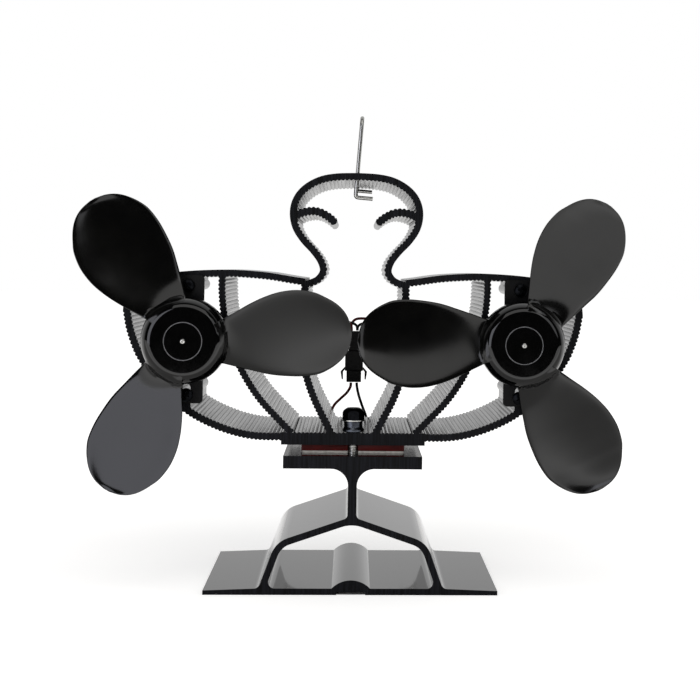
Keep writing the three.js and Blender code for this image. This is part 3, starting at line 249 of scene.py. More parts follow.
# Hard ferrite: nearly black and matt
hard_ferrite = make_finish(
    "hard_ferrite", ("#292828", "#333232"), 1, (0.6, 0.75), 0.8, 0.5, 0.02, {"IOR": 1.6})

# Enamelled copper and commutator copper: warm and glossy
enamelled_copper = make_finish(
    "enamelled_copper", ("#9c4f24", "#b5632f"), (0.8, 3, 0.8), (0.2, 0.34), (0.5, 4, 0.5),
    (0.5, 4, 0.5), 0.02, {"Metallic": 1.0})

# Stamped electrical steel: blue-grey sheets half a millimetre thick, stacked along Y
stamped_laminations = make_finish(
    "stamped_laminations", ("#5c5e62", "#777a7f"), (6, 0.5, 6), (0.35, 0.5), (3, 0.5, 3),
    (6, 0.5, 6), 0.03, {"Metallic": 1.0})

# Black nylon of end caps and connectors: moulded, a fine spark-eroded texture
moulded_nylon = make_finish(
    "moulded_nylon", ("#050505", "#09090a"), 2, (0.34, 0.46), 0.8, 0.6, 0.012, {"IOR": 1.35})

# Silicone lead insulation, extruded in dark red: a soft gloss, slightly uneven
red_insulation = make_finish(
    "red_insulation", ("#6d100e", "#861613"), 3, (0.3, 0.42), 1.5, 1.2, 0.02, {"IOR": 1.41})

# The same insulation in black: its soft gloss shows as thin grey lines
black_insulation = make_finish(
    "black_insulation", ("#0d0d0d", "#151515"), 3, (0.3, 0.42), 1.5, 1.2, 0.02, {"IOR": 1.41})


# Drawing helpers: all of them work in the drawing's millimetres

fine_arc = math.pi / 28


def rounded(corners, arc=fine_arc):
    """A closed outline through corners of (x, z) or (x, z, radius)."""
    points = []
    for i, corner in enumerate(corners):
        here = Vector(corner[:2])
        radius = corner[2] if len(corner) > 2 else 0
        if not radius:
            points.append(here)
            continue
        before = Vector(corners[i - 1][:2]) - here
        after = Vector(corners[(i + 1) % len(corners)][:2]) - here
        shortest = min(before.length, after.length)
        before.normalize()
        after.normalize()
        half = math.acos(max(-1, min(1, before.dot(after)))) / 2
        reach = min(radius / math.tan(half), shortest / 2)
        centre = here + (before + after).normalized() * (reach / math.cos(half))
        start = here + before * reach - centre
        end = here + after * reach - centre
        turn = math.atan2(start.x * end.y - start.y * end.x, start.dot(end))
        steps = max(3, math.ceil(abs(turn) / arc))
        for step in range(steps + 1):
            points.append(centre + Matrix.Rotation(turn * step / steps, 2) @ start)
    return points


def mirrored(half):
    """The right half of an outline, followed by its mirror image."""
    return [*half, *[(-p[0], *p[1:]) for p in reversed(half) if p[0] != 0]]


def quarter(x, y, across, along, steps=14):
    """Points of a quarter turn from (x, y), first outwards and then back, over these distances."""
    turns = [math.pi / 2 * i / steps for i in range(steps + 1)]
    return [(x + across * math.sin(t), y + along * (1 - math.cos(t))) for t in turns]


def rounded_box(x_half, z_low, z_high, radius):
    """A rounded rectangle about X = 0."""
    return rounded([(-x_half, z_low, radius), (x_half, z_low, radius),
                    (x_half, z_high, radius), (-x_half, z_high, radius)])


def disc(x, z, radius, sides=32):
    """A round outline."""
    turns = [2 * math.pi * i / sides for i in range(sides)]
    return [Vector((x + radius * math.cos(t), z + radius * math.sin(t))) for t in turns]


def spline(corners, power, carry_on, steps=16):
    """Points on a smooth curve through the corners, closely set.

    power is 0 for an even curve and 0.5 for a tight one; carry_on is 1 where the ends run on
    straight and 0 where they stop.
    """
    points = []
    last = len(corners) - 1
    for i in range(last):
        a, b = corners[i], corners[i + 1]
        before = corners[i - 1] if i else a + (a - b) * carry_on
        after = corners[i + 2] if i + 2 <= last else b + (b - a) * carry_on
        gaps = [max((q - p).length ** power, 1e-4) for p, q in ((before, a), (a, b), (b, after))]
        leave = ((a - before) / gaps[0] - (b - before) / (gaps[0] + gaps[1])) * gaps[1] + (b - a)
        arrive = ((after - b) / gaps[2] - (after - a) / (gaps[1] + gaps[2])) * gaps[1] + (b - a)
        for step in range(steps):
            t = step / steps
            bend = -3 * a + 3 * b - 2 * leave - arrive
            twist = 2 * a - 2 * b + leave + arrive
            points.append(a + leave * t + bend * t * t + twist * t ** 3)
    points.append(corners[last].copy())
    return points


def spaced(line, steps):
    """The line's points again at even distances, each with the line's direction there."""
    lengths = [0.0]
    for a, b in zip(line, line[1:]):
        lengths.append(lengths[-1] + (b - a).length)
    result = []
    segment = 0
    for step in range(steps + 1):
        goal = lengths[-1] * step / steps
        while segment < len(line) - 2 and lengths[segment + 1] < goal:
            segment += 1
        a, b = line[segment], line[segment + 1]
        share = (goal - lengths[segment]) / (lengths[segment + 1] - lengths[segment])
        ahead = line[min(segment + 2, len(line) - 1)]
        behind = line[max(segment - 1, 0)]
        result.append((a.lerp(b, share), (ahead - behind).normalized()))
    return result


def line_length(line):
    return sum((b - a).length for a, b in zip(line, line[1:]))


def anticlockwise(outline):
    area = sum(a.x * b.y - b.x * a.y for a, b in zip(outline, [*outline[1:], outline[0]]))
    return outline if area > 0 else outline[::-1]


def extruded(outlines, y_front, y_back, holes=()):
    """One closed body from front outlines that may cross each other, less the holes."""
    corners, faces = [], []
    for outline in [*outlines, *holes]:
        outline = anticlockwise([Vector(point) for point in outline])
        faces.append(list(range(len(corners), len(corners) + len(outline))))
        corners += outline
    points, _, triangles, _, _, owners = delaunay_2d_cdt(corners, [], faces, 1, 1e-4)
    kept = [t for t, own in zip(triangles, owners) if own and max(own) < len(outlines)]
    body = bmesh.new()
    front = {i: body.verts.new((points[i].x, y_front, points[i].y)) for t in kept for i in t}
    back = {i: body.verts.new((points[i].x, y_back, points[i].y)) for t in kept for i in t}
    directed = set()
    for i, j, k in kept:
        body.faces.new((front[i], front[j], front[k]))
        body.faces.new((back[k], back[j], back[i]))
        directed |= {(i, j), (j, k), (k, i)}
    for i, j in sorted(directed):
        if (j, i) not in directed:
            body.faces.new((front[j], front[i], back[i], back[j]))
    loose = [v for v in body.verts if not v.link_faces]
    bmesh.ops.delete(body, geom=loose, context="VERTS")
    bmesh.ops.recalc_face_normals(body, faces=body.faces)
    return body


def turned(profile, sides=64, closed=False):
    """A body turned about the Y axis from points of radius and Y."""
    body = bmesh.new()
    rings = []
    for radius, y in profile:
        ring = disc(0, 0, radius, sides) if radius > 1e-6 else [Vector((0, 0))]
        rings.append([body.verts.new((p.x, y, p.y)) for p in ring])
    pairs = list(zip(rings, rings[1:]))
    if closed:
        pairs.append((rings[-1], rings[0]))
    for a, b in pairs:
        for i in range(sides):
            j = (i + 1) % sides
            ring = [a[i % len(a)], a[j % len(a)], b[j % len(b)], b[i % len(b)]]
            ring = [v for n, v in enumerate(ring) if v not in ring[:n]]
            if len(ring) > 2:
                body.faces.new(ring)
    bmesh.ops.recalc_face_normals(body, faces=body.faces)
    return body


def rod(radius, y_low, y_high, sides=32):
    return turned([(0, y_low), (radius, y_low), (radius, y_high), (0, y_high)], sides)


def block(low, high):
    """A box between two corners."""
    body = bmesh.new()
    size = Vector(high) - Vector(low)
    place = Matrix.Translation((Vector(low) + Vector(high)) / 2) @ Matrix.Diagonal((*size, 1))
    bmesh.ops.create_cube(body, size=1, matrix=place)
    return body


def joined(bodies):
    """Several bodies in one, side by side."""
    whole = bodies[0]
    for other in bodies[1:]:
        mesh = bpy.data.meshes.new("part")
        other.to_mesh(mesh)
        whole.from_mesh(mesh)
        other.free()
        bpy.data.meshes.remove(mesh)
    return whole


def moved(body, matrix):
    body.transform(matrix)
    return body


def shifted(body, x=0, y=0, z=0):
    return moved(body, Matrix.Translation((x, y, z)))


def raised(body, y=0):
    """A body drawn about the Y axis, stood upright on the centre line."""
    return shifted(moved(body, Matrix.Rotation(math.radians(90), 4, "X")), y=y)


def combined(body, tool, operation="DIFFERENCE"):
    """The body cut by the tool, joined with it, or what the two share."""
    objects = []
    for part in (body, tool):
        mesh = bpy.data.meshes.new("part")
        part.to_mesh(mesh)
        part.free()
        objects.append(bpy.data.objects.new("part", mesh))
        bpy.context.collection.objects.link(objects[-1])
    cut = objects[0].modifiers.new("cut", "BOOLEAN")
    cut.operation = operation
    cut.solver = "EXACT"
    cut.object = objects[1]
    scratch = bpy.context.evaluated_depsgraph_get()
    result = bmesh.new()
    result.from_object(objects[0], scratch)
    for made in objects:
        mesh = made.data
        bpy.data.objects.remove(made)
        bpy.data.meshes.remove(mesh)
    return result


def eased(body, width, above=50, segments=2):
    """The body with its edges sharper than an angle rounded off."""
    sharp = [e for e in body.edges
             if len(e.link_faces) == 2 and e.calc_face_angle(0) > math.radians(above)]
    bmesh.ops.bevel(body, geom=sharp, offset=width, segments=segments, profile=0.5,
                    affect="EDGES", clamp_overlap=True)
    return body


def settle(name, body, finishes, nodes, rides_on="frame", crease=20):
    """Makes a finished piece of a body and sets it in the frame in place of its CAD nodes."""
    body.transform(to_frame)
    mesh = bpy.data.meshes.new(name)
    body.to_mesh(mesh)
    body.free()
    piece = bpy.data.objects.new(name, mesh)
    bpy.context.collection.objects.link(piece)
    for finish in finishes:
        mesh.materials.append(finish)
    mesh.shade_smooth()
    mesh.set_sharp_from_angle(angle=math.radians(crease))
    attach(piece, rides_on)
    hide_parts(*nodes)


def mark_ends(body):
    """Gives the faces that look along Y, and the small chamfers round them, the second finish."""
    body.normal_update()
    for face in body.faces:
        if abs(face.normal.y) > 0.3:
            face.material_index = 1
    return body


# Geometry Nodes: pan-head screws on points, thread ridges, wires along a line, blades round a hub

def new_tree(name, **sockets):
    """An empty geometry tree with named inputs, and the outputs of its input node."""
    tree = bpy.data.node_groups.new(name, "GeometryNodeTree")
    for label, kind in {"Geometry": "Geometry", **sockets, "Finish": "Material"}.items():
        tree.interface.new_socket(label.replace("_", " "), in_out="INPUT",
                                  socket_type=f"NodeSocket{kind}")
    tree.interface.new_socket("Geometry", in_out="OUTPUT", socket_type="NodeSocketGeometry")
    return tree, add_node(tree, "NodeGroupInput").outputs


def finish_tree(tree, given, geometry):
    """Ends a tree: its instances made real, its finish set, and its output."""
    real = add_node(tree, "GeometryNodeRealizeInstances", [geometry])
    dressed = add_node(tree, "GeometryNodeSetMaterial", {
        "Geometry": real, "Material": given["Finish"]})
    add_node(tree, "NodeGroupOutput", [dressed])
    return tree


def screw_tree():
    """Pan-head screws with crossed slots, one on each point, heads to the front."""
    tree, given = new_tree("pan_head_screws", Head_radius="Float", Head_height="Float",
                           Shank_radius="Float", Shank_length="Float", Slot_width="Float",
                           Seed="Int")
    radius, height, length = given["Head radius"], given["Head height"], given["Shank length"]
    dome_radius = add_node(tree, "ShaderNodeMath", [radius, 1.12], operation="MULTIPLY")
    slot_length = add_node(tree, "ShaderNodeMath", [radius, 1.15], operation="MULTIPLY")
    double_height = add_node(tree, "ShaderNodeMath", [height, 2.0], operation="MULTIPLY")
    shank_middle = add_node(tree, "ShaderNodeMath", [length, -0.5], operation="MULTIPLY")
    to_top = add_node(tree, "ShaderNodeCombineXYZ", {"Z": height})
    to_shank = add_node(tree, "ShaderNodeCombineXYZ", {"Z": shank_middle})
    dome_size = add_node(tree, "ShaderNodeCombineXYZ", [dome_radius, dome_radius, height])
    ball = add_node(tree, "GeometryNodeMeshUVSphere", {"Segments": 40, "Rings": 24, "Radius": 1.0})
    dome = add_node(tree, "GeometryNodeTransform", {"Geometry": ball, "Scale": dome_size})
    barrel = add_node(tree, "GeometryNodeMeshCylinder", {
        "Vertices": 40, "Radius": radius, "Depth": double_height})
    lifted = add_node(tree, "GeometryNodeTransform", {"Geometry": barrel, "Translation": to_top})
    head = add_node(tree, "GeometryNodeMeshBoolean", {"Mesh 2": [dome, lifted]},
                    operation="INTERSECT", solver="EXACT")
    bars = []
    for long_side, short_side in (("X", "Y"), ("Y", "X")):
        size = add_node(tree, "ShaderNodeCombineXYZ", {
            long_side: slot_length, short_side: given["Slot width"], "Z": height})
        bar = add_node(tree, "GeometryNodeMeshCube", {"Size": size})
        bars.append(add_node(tree, "GeometryNodeTransform", {
            "Geometry": bar, "Translation": to_top}))
    slotted = add_node(tree, "GeometryNodeMeshBoolean", {"Mesh 1": head, "Mesh 2": bars},
                       operation="DIFFERENCE", solver="EXACT")
    shank = add_node(tree, "GeometryNodeMeshCylinder", {
        "Vertices": 24, "Radius": given["Shank radius"], "Depth": length})
    sunk = add_node(tree, "GeometryNodeTransform", {"Geometry": shank, "Translation": to_shank})
    whole = add_node(tree, "GeometryNodeJoinGeometry", {"Geometry": [slotted, sunk]})
    turn = add_node(tree, "FunctionNodeRandomValue", {
        "Seed": given["Seed"], 2: 0.0, 3: math.pi}, data_type="FLOAT")
    spin = add_node(tree, "ShaderNodeCombineXYZ", {"Z": turn.outputs[1]})
    placed = add_node(tree, "GeometryNodeInstanceOnPoints", {
        "Points": given["Geometry"], "Instance": whole, "Rotation": (math.pi / 2, 0, 0)})
    spun = add_node(tree, "GeometryNodeRotateInstances", {"Instances": placed, "Rotation": spin})
    return finish_tree(tree, given, spun)


def thread_tree():
    """Thread ridges at even steps up a shank, from each point."""
    tree, given = new_tree("thread_ridges", Radius="Float", Ridge="Float", Pitch="Float",
                           Count="Int")
    path = add_node(tree, "GeometryNodeCurvePrimitiveCircle", {
        "Resolution": 40, "Radius": given["Radius"]}, mode="RADIUS")
    section = add_node(tree, "GeometryNodeCurvePrimitiveCircle", {
        "Resolution": 8, "Radius": given["Ridge"]}, mode="RADIUS")
    ridge = add_node(tree, "GeometryNodeCurveToMesh", {"Curve": path, "Profile Curve": section})
    step = add_node(tree, "ShaderNodeCombineXYZ", {"Z": given["Pitch"]})
    rows = add_node(tree, "GeometryNodeMeshLine", {
        "Count": given["Count"], "Offset": step}, mode="OFFSET")
    stack = add_node(tree, "GeometryNodeInstanceOnPoints", {"Points": rows, "Instance": ridge})
    placed = add_node(tree, "GeometryNodeInstanceOnPoints", {
        "Points": given["Geometry"], "Instance": stack})
    return finish_tree(tree, given, placed)


def wire_tree():
    """A round wire along a line, closed at both ends."""
    tree, given = new_tree("wire_along_line", Radius="Float", Sides="Int")
    path = add_node(tree, "GeometryNodeMeshToCurve", {"Mesh": given["Geometry"]})
    section = add_node(tree, "GeometryNodeCurvePrimitiveCircle", {
        "Resolution": given["Sides"], "Radius": given["Radius"]}, mode="RADIUS")
    wire = add_node(tree, "GeometryNodeCurveToMesh", {
        "Curve": path, "Profile Curve": section, "Fill Caps": True})
    return finish_tree(tree, given, wire)


def blade_tree():
    """The given blade, repeated at even turns round the Y axis."""
    tree, given = new_tree("blades_round_hub", Count="Int")
    turn = add_node(tree, "ShaderNodeMath", [-2 * math.pi, given["Count"]], operation="DIVIDE")
    index = add_node(tree, "GeometryNodeInputIndex")
    angle = add_node(tree, "ShaderNodeMath", [index, turn], operation="MULTIPLY")
    rotation = add_node(tree, "ShaderNodeCombineXYZ", {"Y": angle})
    middle = add_node(tree, "GeometryNodeMeshLine", {
        "Count": given["Count"], "Offset": (0, 0, 0)}, mode="OFFSET")
    placed = add_node(tree, "GeometryNodeInstanceOnPoints", {
        "Points": middle, "Instance": given["Geometry"], "Rotation": rotation})
    return finish_tree(tree, given, placed)


def grown(host, tree, values):
    """The body that a tree makes of a host mesh, in millimetres."""
    holder = bpy.data.objects.new(host.name, host)
    bpy.context.collection.objects.link(holder)
    grow = holder.modifiers.new(host.name, "NODES")
    grow.node_group = tree
    for item in tree.interface.items_tree:
        if item.in_out == "INPUT" and item.name in values:
            grow[item.identifier] = values[item.name]
    scratch = bpy.context.evaluated_depsgraph_get()
    mesh = bpy.data.meshes.new_from_object(holder.evaluated_get(scratch))
    holder.modifiers.remove(grow)
    bpy.data.objects.remove(holder)
    bpy.data.meshes.remove(host)
    body = bmesh.new()
    body.from_mesh(mesh)
    bpy.data.meshes.remove(mesh)
    bmesh.ops.remove_doubles(body, verts=body.verts, dist=1e-4)
    bmesh.ops.recalc_face_normals(body, faces=body.faces)
    return body


def line_mesh(points, linked=False):
    """A mesh of bare points, or of one line through them."""
    mesh = bpy.data.meshes.new("line")
    edges = [(i, i + 1) for i in range(len(points) - 1)] if linked else []
    mesh.from_pydata([tuple(point) for point in points], edges, [])
    return mesh


pan_head_screws = screw_tree()
thread_ridges = thread_tree()
wire_along_line = wire_tree()
blades_round_hub = blade_tree()


# Base stand: one extrusion with a foot, two legs, a stem and the hot plate

stand_depth = 80
stand_height = 53.7
foot_half_width, foot_edge, foot_thickness = 57, 1.7, 2.5
hump_half_width, hump_rise = 7.5, 3.2
leg_foot_x, leg_lean_share = 36.6, 0.364
shoulder_height, shoulder_radius = 20.4, 10
roof_slope_share, apex_radius = 0.342, 12
stand_wall, leg_fillet = 2.6, 2.5
stem_half_width, stem_fillet = 1.7, 2
hot_plate_half_width, hot_plate_thickness, hot_plate_fillet = 26.9, 4.9, 6.7
recess_half_width, recess_depth = 5.6, 1.2
saw_chamfer = 0.12


def leg_outer_x(z):
    return leg_foot_x - leg_lean_share * z


def hump_half(steps=14):
    """The right half of the round hump on the foot, from its top to its edge."""
    radius = (hump_half_width ** 2 + hump_rise ** 2) / (2 * hump_rise)
    turns = [math.asin(hump_half_width / radius) * i / steps for i in range(steps + 1)]
    top = foot_thickness + hump_rise
    return [(radius * math.sin(t), top - radius * (1 - math.cos(t))) for t in turns]


def base_stand():
    shoulder_x = leg_outer_x(shoulder_height)
    roof_base = shoulder_height + roof_slope_share * shoulder_x
    plate_bottom = stand_height - hot_plate_thickness
    outside = rounded(mirrored([
        (recess_half_width, recess_depth), (recess_half_width, 0), (foot_half_width, 0),
        (foot_half_width, foot_edge), (leg_outer_x(foot_thickness), foot_thickness, leg_fillet),
        (shoulder_x, shoulder_height, shoulder_radius),
        (stem_half_width, roof_base - roof_slope_share * stem_half_width, stem_fillet),
        (stem_half_width, plate_bottom, hot_plate_fillet), (hot_plate_half_width, plate_bottom),
        (hot_plate_half_width, stand_height),
    ]))
    inner_foot = leg_foot_x - stand_wall * math.hypot(1, leg_lean_share)
    inner_roof = roof_base - stand_wall * math.hypot(1, roof_slope_share)
    inner_shoulder = ((inner_foot - leg_lean_share * inner_roof)
                      / (1 - leg_lean_share * roof_slope_share))
    tunnel = rounded(mirrored([
        *hump_half(), (inner_foot - leg_lean_share * foot_thickness, foot_thickness, leg_fillet),
        (inner_shoulder, inner_roof - roof_slope_share * inner_shoulder,
         shoulder_radius - stand_wall),
        (0, inner_roof, apex_radius),
    ]))
    body = extruded([outside], -stand_depth / 2, stand_depth / 2, [tunnel])
    return mark_ends(eased(body, saw_chamfer, 60))


settle("base_stand_body", base_stand(), [anodised_extrusion, anodised_saw_cut], ["base_stand"])


# Heat sink: one extrusion, its walls grooved along Y. Shares are those of the drawing: of the
# head's half width and height, or of the bowl's height and the way out to its side.

film_gap = 0.02
module_height = 3.4
sink_bottom = stand_height + module_height
sink_depth = 64
plate_half_width, plate_thickness = 28.15, 5
plate_top = sink_bottom + plate_thickness
bowl_half_width, bowl_height, bowl_root_inset, bowl_step = 88.7, 63.45, 2.15, 0.2
bowl_wall, arm_wall, mid_rib_wall, inner_rib_wall = 3.25, 2.9, 3, 3.2
head_half_width, head_height, head_wall, horn_wall = 24.65, 42.5, 2.95, 3.45
bowl_bottom = plate_top - bowl_step - bowl_wall / 2
neck_z = bowl_bottom + 0.94 * bowl_height
head_top = neck_z + head_height
fan_x = bowl_half_width - 23.7
fan_z = sink_bottom + 40.7
can_radius = 12.2
groove_pitch = 1.57
groove_depth = 0.5
clamp_y, clamp_bore = 28, 2.3
handle_hole_y, handle_hole_radius = 28, 1.25
boss_radius, boss_web_half_width = 2.4, 1.6
upper_screw_rise, lower_screw_drop = 20.9, 21.5

bowl_shares = [
    (0, 0), (0.171, 0.001), (0.297, 0.02), (0.421, 0.058), (0.547, 0.115), (0.646, 0.179),
    (0.741, 0.261), (0.826, 0.356), (0.891, 0.455), (0.932, 0.528), (0.976, 0.652), (0.999, 0.775),
]
arm_shares = [
    (0, 0.953), (0.08, 0.965), (0.193, 0.984), (0.306, 0.995), (0.421, 1), (0.534, 0.997),
    (0.649, 0.989), (0.758, 0.975), (0.86, 0.95), (0.939, 0.907), (0.987, 0.844), (0.999, 0.765),
]
mid_rib_shares = [
    (0.983, 0.99), (0.984, 0.901), (0.971, 0.775), (0.932, 0.613), (0.869, 0.471), (0.786, 0.34),
    (0.682, 0.217), (0.538, 0.091), (0.455, 0.022),
]
inner_rib_shares = [
    (0, 0.947), (0, 0.828), (0.008, 0.701), (0.006, 0.558), (-0.007, 0.431), (-0.026, 0.34),
    (-0.07, 0.217), (-0.129, 0.091), (-0.169, 0.005),
]
head_shares = [
    (0, 1), (0.304, 0.993), (0.544, 0.968), (0.742, 0.914), (0.884, 0.843), (0.968, 0.761),
    (1, 0.671), (0.986, 0.58), (0.931, 0.495), (0.819, 0.403), (0.669, 0.311), (0.552, 0.217),
    (0.511, 0.125), (0.584, 0.05), (0.706, 0.012), (0.803, -0.004),
]
horn_shares = [
    (1, 0.605), (0.955, 0.634), (0.836, 0.664), (0.7, 0.676), (0.576, 0.664), (0.446, 0.624),
    (0.377, 0.591),
]


def bowl_line(shares, root_x, side_x=bowl_half_width):
    return spline([Vector((root_x + x * (side_x - root_x), bowl_bottom + z * bowl_height))
                   for x, z in shares], 0, 0)


def head_line(shares):
    return spline([Vector((x * head_half_width, neck_z + z * head_height))
                   for x, z in shares], 0, 0)


# How deep the groove is at each quarter of its pitch: rounded ridges between narrow valleys
ridge_shares = (1, 0.3, 0, 0.3)


def wall(line, thickness, left_grooved, right_grooved, round_end=False):
    """A wall along a centre line, grooved on its left or right side as seen along it."""
    steps = len(ridge_shares) * round(line_length(line) / groove_pitch)
    sides = []
    for hand, grooved in ((1, left_grooved), (-1, right_grooved)):
        side = []
        for i, (point, along) in enumerate(spaced(line, steps)):
            depth = groove_depth * ridge_shares[i % len(ridge_shares)] if grooved else 0
            side.append(point + Vector((-along.y, along.x)) * hand * (thickness / 2 - depth))
        sides.append(side)
    end = []
    if round_end:
        along = (line[-1] - line[-2]).normalized()
        for i in range(1, 12):
            turn = Matrix.Rotation(math.pi / 2 - math.pi * i / 12, 2)
            end.append(line[-1] + turn @ along * (thickness / 2))
    return [*sides[0], *end, *reversed(sides[1])]


def bottom_plate():
    """The plate's outline, with grooves across its top."""
    steps = len(ridge_shares) * round(2 * plate_half_width / groove_pitch)
    outline = [Vector((-plate_half_width, sink_bottom)), Vector((plate_half_width, sink_bottom))]
    for i in range(steps + 1):
        depth = groove_depth * ridge_shares[i % len(ridge_shares)]
        outline.append(Vector((plate_half_width * (1 - 2 * i / steps), plate_top - depth)))
    return outline


def screw_bosses(arm, bowl):
    """A boss behind each bracket screw, on a web from the wall above or below it."""
    outlines = []
    for z, line in ((fan_z + upper_screw_rise, arm), (fan_z - lower_screw_drop, bowl)):
        root = min(line, key=lambda point: abs(point.x - fan_x)).y
        low, high = fan_x - boss_web_half_width, fan_x + boss_web_half_width
        outlines.append(disc(fan_x, z, boss_radius, 40))
        outlines.append([Vector(p) for p in ((low, z), (high, z), (high, root), (low, root))])
    return outlines


def heat_sink():
    neck_x = head_half_width * head_shares[-1][0]
    bowl = bowl_line(bowl_shares, plate_half_width - bowl_root_inset)
    arm = bowl_line(arm_shares, neck_x)
    half = [
        wall(bowl, bowl_wall, True, True),
        wall(arm, arm_wall, False, True),
        wall(bowl_line(mid_rib_shares, 0, fan_x - can_radius), mid_rib_wall, True, True),
        wall(bowl_line(inner_rib_shares, neck_x), inner_rib_wall, True, True),
        wall(head_line(head_shares), head_wall, False, True),
        wall(head_line(horn_shares), horn_wall, True, True, True),
        *screw_bosses(arm, bowl),
    ]
    other = [[Vector((-p.x, p.y)) for p in outline] for outline in half]
    body = extruded([bottom_plate(), *half, *other], -sink_depth / 2, sink_depth / 2)
    through_head = (head_top - head_wall, head_top + head_wall)
    through_plate = (sink_bottom - 1, plate_top + 1)
    drills = []
    for radius, y, heights in ((handle_hole_radius, handle_hole_y, through_head),
                               (clamp_bore, clamp_y, through_plate)):
        drills += [raised(rod(radius, *heights), hand * y) for hand in (-1, 1)]
    return mark_ends(combined(body, joined(drills)))


settle("heat_sink_body", heat_sink(), [anodised_fins, anodised_saw_cut], ["heat_sink"],
       crease=30)


# Motor brackets and their screws

bracket_half_width, bracket_rise, bracket_drop, bracket_corner = 6.3, 25.1, 24.8, 1.6
bracket_back = -sink_depth / 2 - film_gap
bracket_front = bracket_back - 1.6
slot_half_width, slot_rise = 1.7, 2.6
nose_hole_radius = 3.4
motor_screw_rise, motor_screw_hole_radius = 7.5, 1.2
sides = (("left", -fan_x), ("right", fan_x))


def motor_bracket(x):
    strap = rounded_box(bracket_half_width, -bracket_drop, bracket_rise, bracket_corner)
    slot = rounded_box(slot_half_width, -lower_screw_drop - slot_half_width,
                       slot_rise - lower_screw_drop + slot_half_width, slot_half_width)
    holes = [slot, disc(0, upper_screw_rise, slot_half_width), disc(0, 0, nose_hole_radius, 48),
             *[disc(0, z, motor_screw_hole_radius) for z in (motor_screw_rise, -motor_screw_rise)]]
    body = eased(extruded([strap], bracket_front, bracket_back, holes), 0.2, 60)
    return shifted(body, x=x, z=fan_z)


# Each kind: where the screws sit, their finish and slot, their sizes, and the two sides' seeds
screw_kinds = {
    "bracket": ((upper_screw_rise, -lower_screw_drop), black_oxide_steel, "black_screw", {
        "Head radius": 2.7, "Head height": 1.7, "Shank radius": 1.4, "Shank length": 8.0,
        "Slot width": 0.7}, {"left": 8, "right": 3}),
    "motor": ((motor_screw_rise, -motor_screw_rise), plated_steel, "bright_steel", {
        "Head radius": 1.7, "Head height": 1.2, "Shank radius": 0.9, "Shank length": 2.7,
        "Slot width": 0.45}, {"left": 1, "right": 5}),
}
for side, x in sides:
    settle(f"bracket_strap_{side}", motor_bracket(x), [coated_sheet], [f"motor_bracket_{side}"])
    for kind, (heights, finish, slot, sizes, seeds) in screw_kinds.items():
        places = [(x, bracket_front - film_gap, fan_z + z) for z in heights]
        screws = grown(line_mesh(places), pan_head_screws,
                       {**sizes, "Seed": seeds[side], "Finish": finish})
        settle(f"{kind}_screws_{side}", screws, [finish],
               [f"{kind}_screw_{side}_upper", f"{kind}_screw_{side}_lower"])


# Motors: Y runs back from the front of the can

can_length, can_wall, can_front = 12.3, 0.6, 0.8
nose_radius, nose_length, bush_seat = 3.1, 1.5, 2.23
cap_thickness, cap_boss_radius, cap_boss_length = 1.2, 3.4, 1.6
tab_x, tab_half_width, tab_half_thickness, tab_front, tab_back = 6.3, 1, 0.3, 9.7, 15.3
eye_radius, eye_inset, leaf_x, leaf_half_width, leaf_thickness = 0.45, 1.1, 2.2, 0.6, 0.6
cap_dish_depth, cap_dish_outer, cap_dish_inner, cap_slot_play = 0.4, 9.4, 5, 0.3
shaft_radius, shaft_front, shaft_back = 1, -17.62, 13.4


def motor_can():
    inside = can_radius - can_wall
    outline = rounded([
        (bush_seat, -nose_length), (nose_radius, -nose_length, 0.3), (nose_radius, 0, 0.4),
        (can_radius, 0, 1.2), (can_radius, can_length, 0.2), (inside, can_length),
        (inside, can_front), (bush_seat, can_front),
    ])
    drills = [shifted(rod(motor_screw_hole_radius, -1, 2), z=z)
              for z in (-motor_screw_rise, motor_screw_rise)]
    return combined(turned(outline, 72, closed=True), joined(drills))


def motor_cap():
    rim = can_radius - can_wall - film_gap
    front, back = can_length - cap_thickness, can_length + cap_boss_length
    dish, slope = can_length - cap_dish_depth, cap_dish_depth / 2
    outline = rounded([
        (bush_seat, front), (rim, front), (rim, can_length),
        (cap_dish_outer + slope, can_length, 0.2), (cap_dish_outer - slope, dish, 0.2),
        (cap_dish_inner + slope, dish, 0.2), (cap_dish_inner - slope, can_length, 0.2),
        (cap_boss_radius, can_length, 0.3), (cap_boss_radius, back, 0.4), (bush_seat, back),
    ])
    across, up = tab_half_thickness + cap_slot_play, tab_half_width + cap_slot_play
    slots = [block((x - across, front - 1, -up), (x + across, back, up)) for x in (-tab_x, tab_x)]
    return combined(turned(outline, 72, closed=True), joined(slots))


def brush(x):
    """A terminal tab with a soldering eye, and the leaf that runs in to the commutator."""
    tab = block((x - tab_half_thickness, tab_front, -tab_half_width),
                (x + tab_half_thickness, tab_back, tab_half_width))
    eye = moved(rod(eye_radius, -1, 1, 20), Matrix.Rotation(math.pi / 2, 4, "Z"))
    tab = combined(eased(tab, 0.15, 60), shifted(eye, x=x, y=tab_back - eye_inset))
    near, far = sorted((math.copysign(leaf_x, x), x))
    leaf = block((near, tab_front, -leaf_half_width),
                 (far, tab_front + leaf_thickness, leaf_half_width))
    return joined([tab, leaf])


def motor_shaft():
    """The shaft, with the small centre hole of its turning in its front end."""
    return turned([
        (0, shaft_front + 0.4), (0.3, shaft_front + 0.16), (0.38, shaft_front + 0.03),
        (0.5, shaft_front), (0.72, shaft_front + 0.06), (0.9, shaft_front + 0.2),
        (shaft_radius, shaft_front + 0.45), (shaft_radius, shaft_back - 0.1),
        (0.9, shaft_back), (0, shaft_back),
    ], 40)


# Propellers: Y runs back from the face of the hub

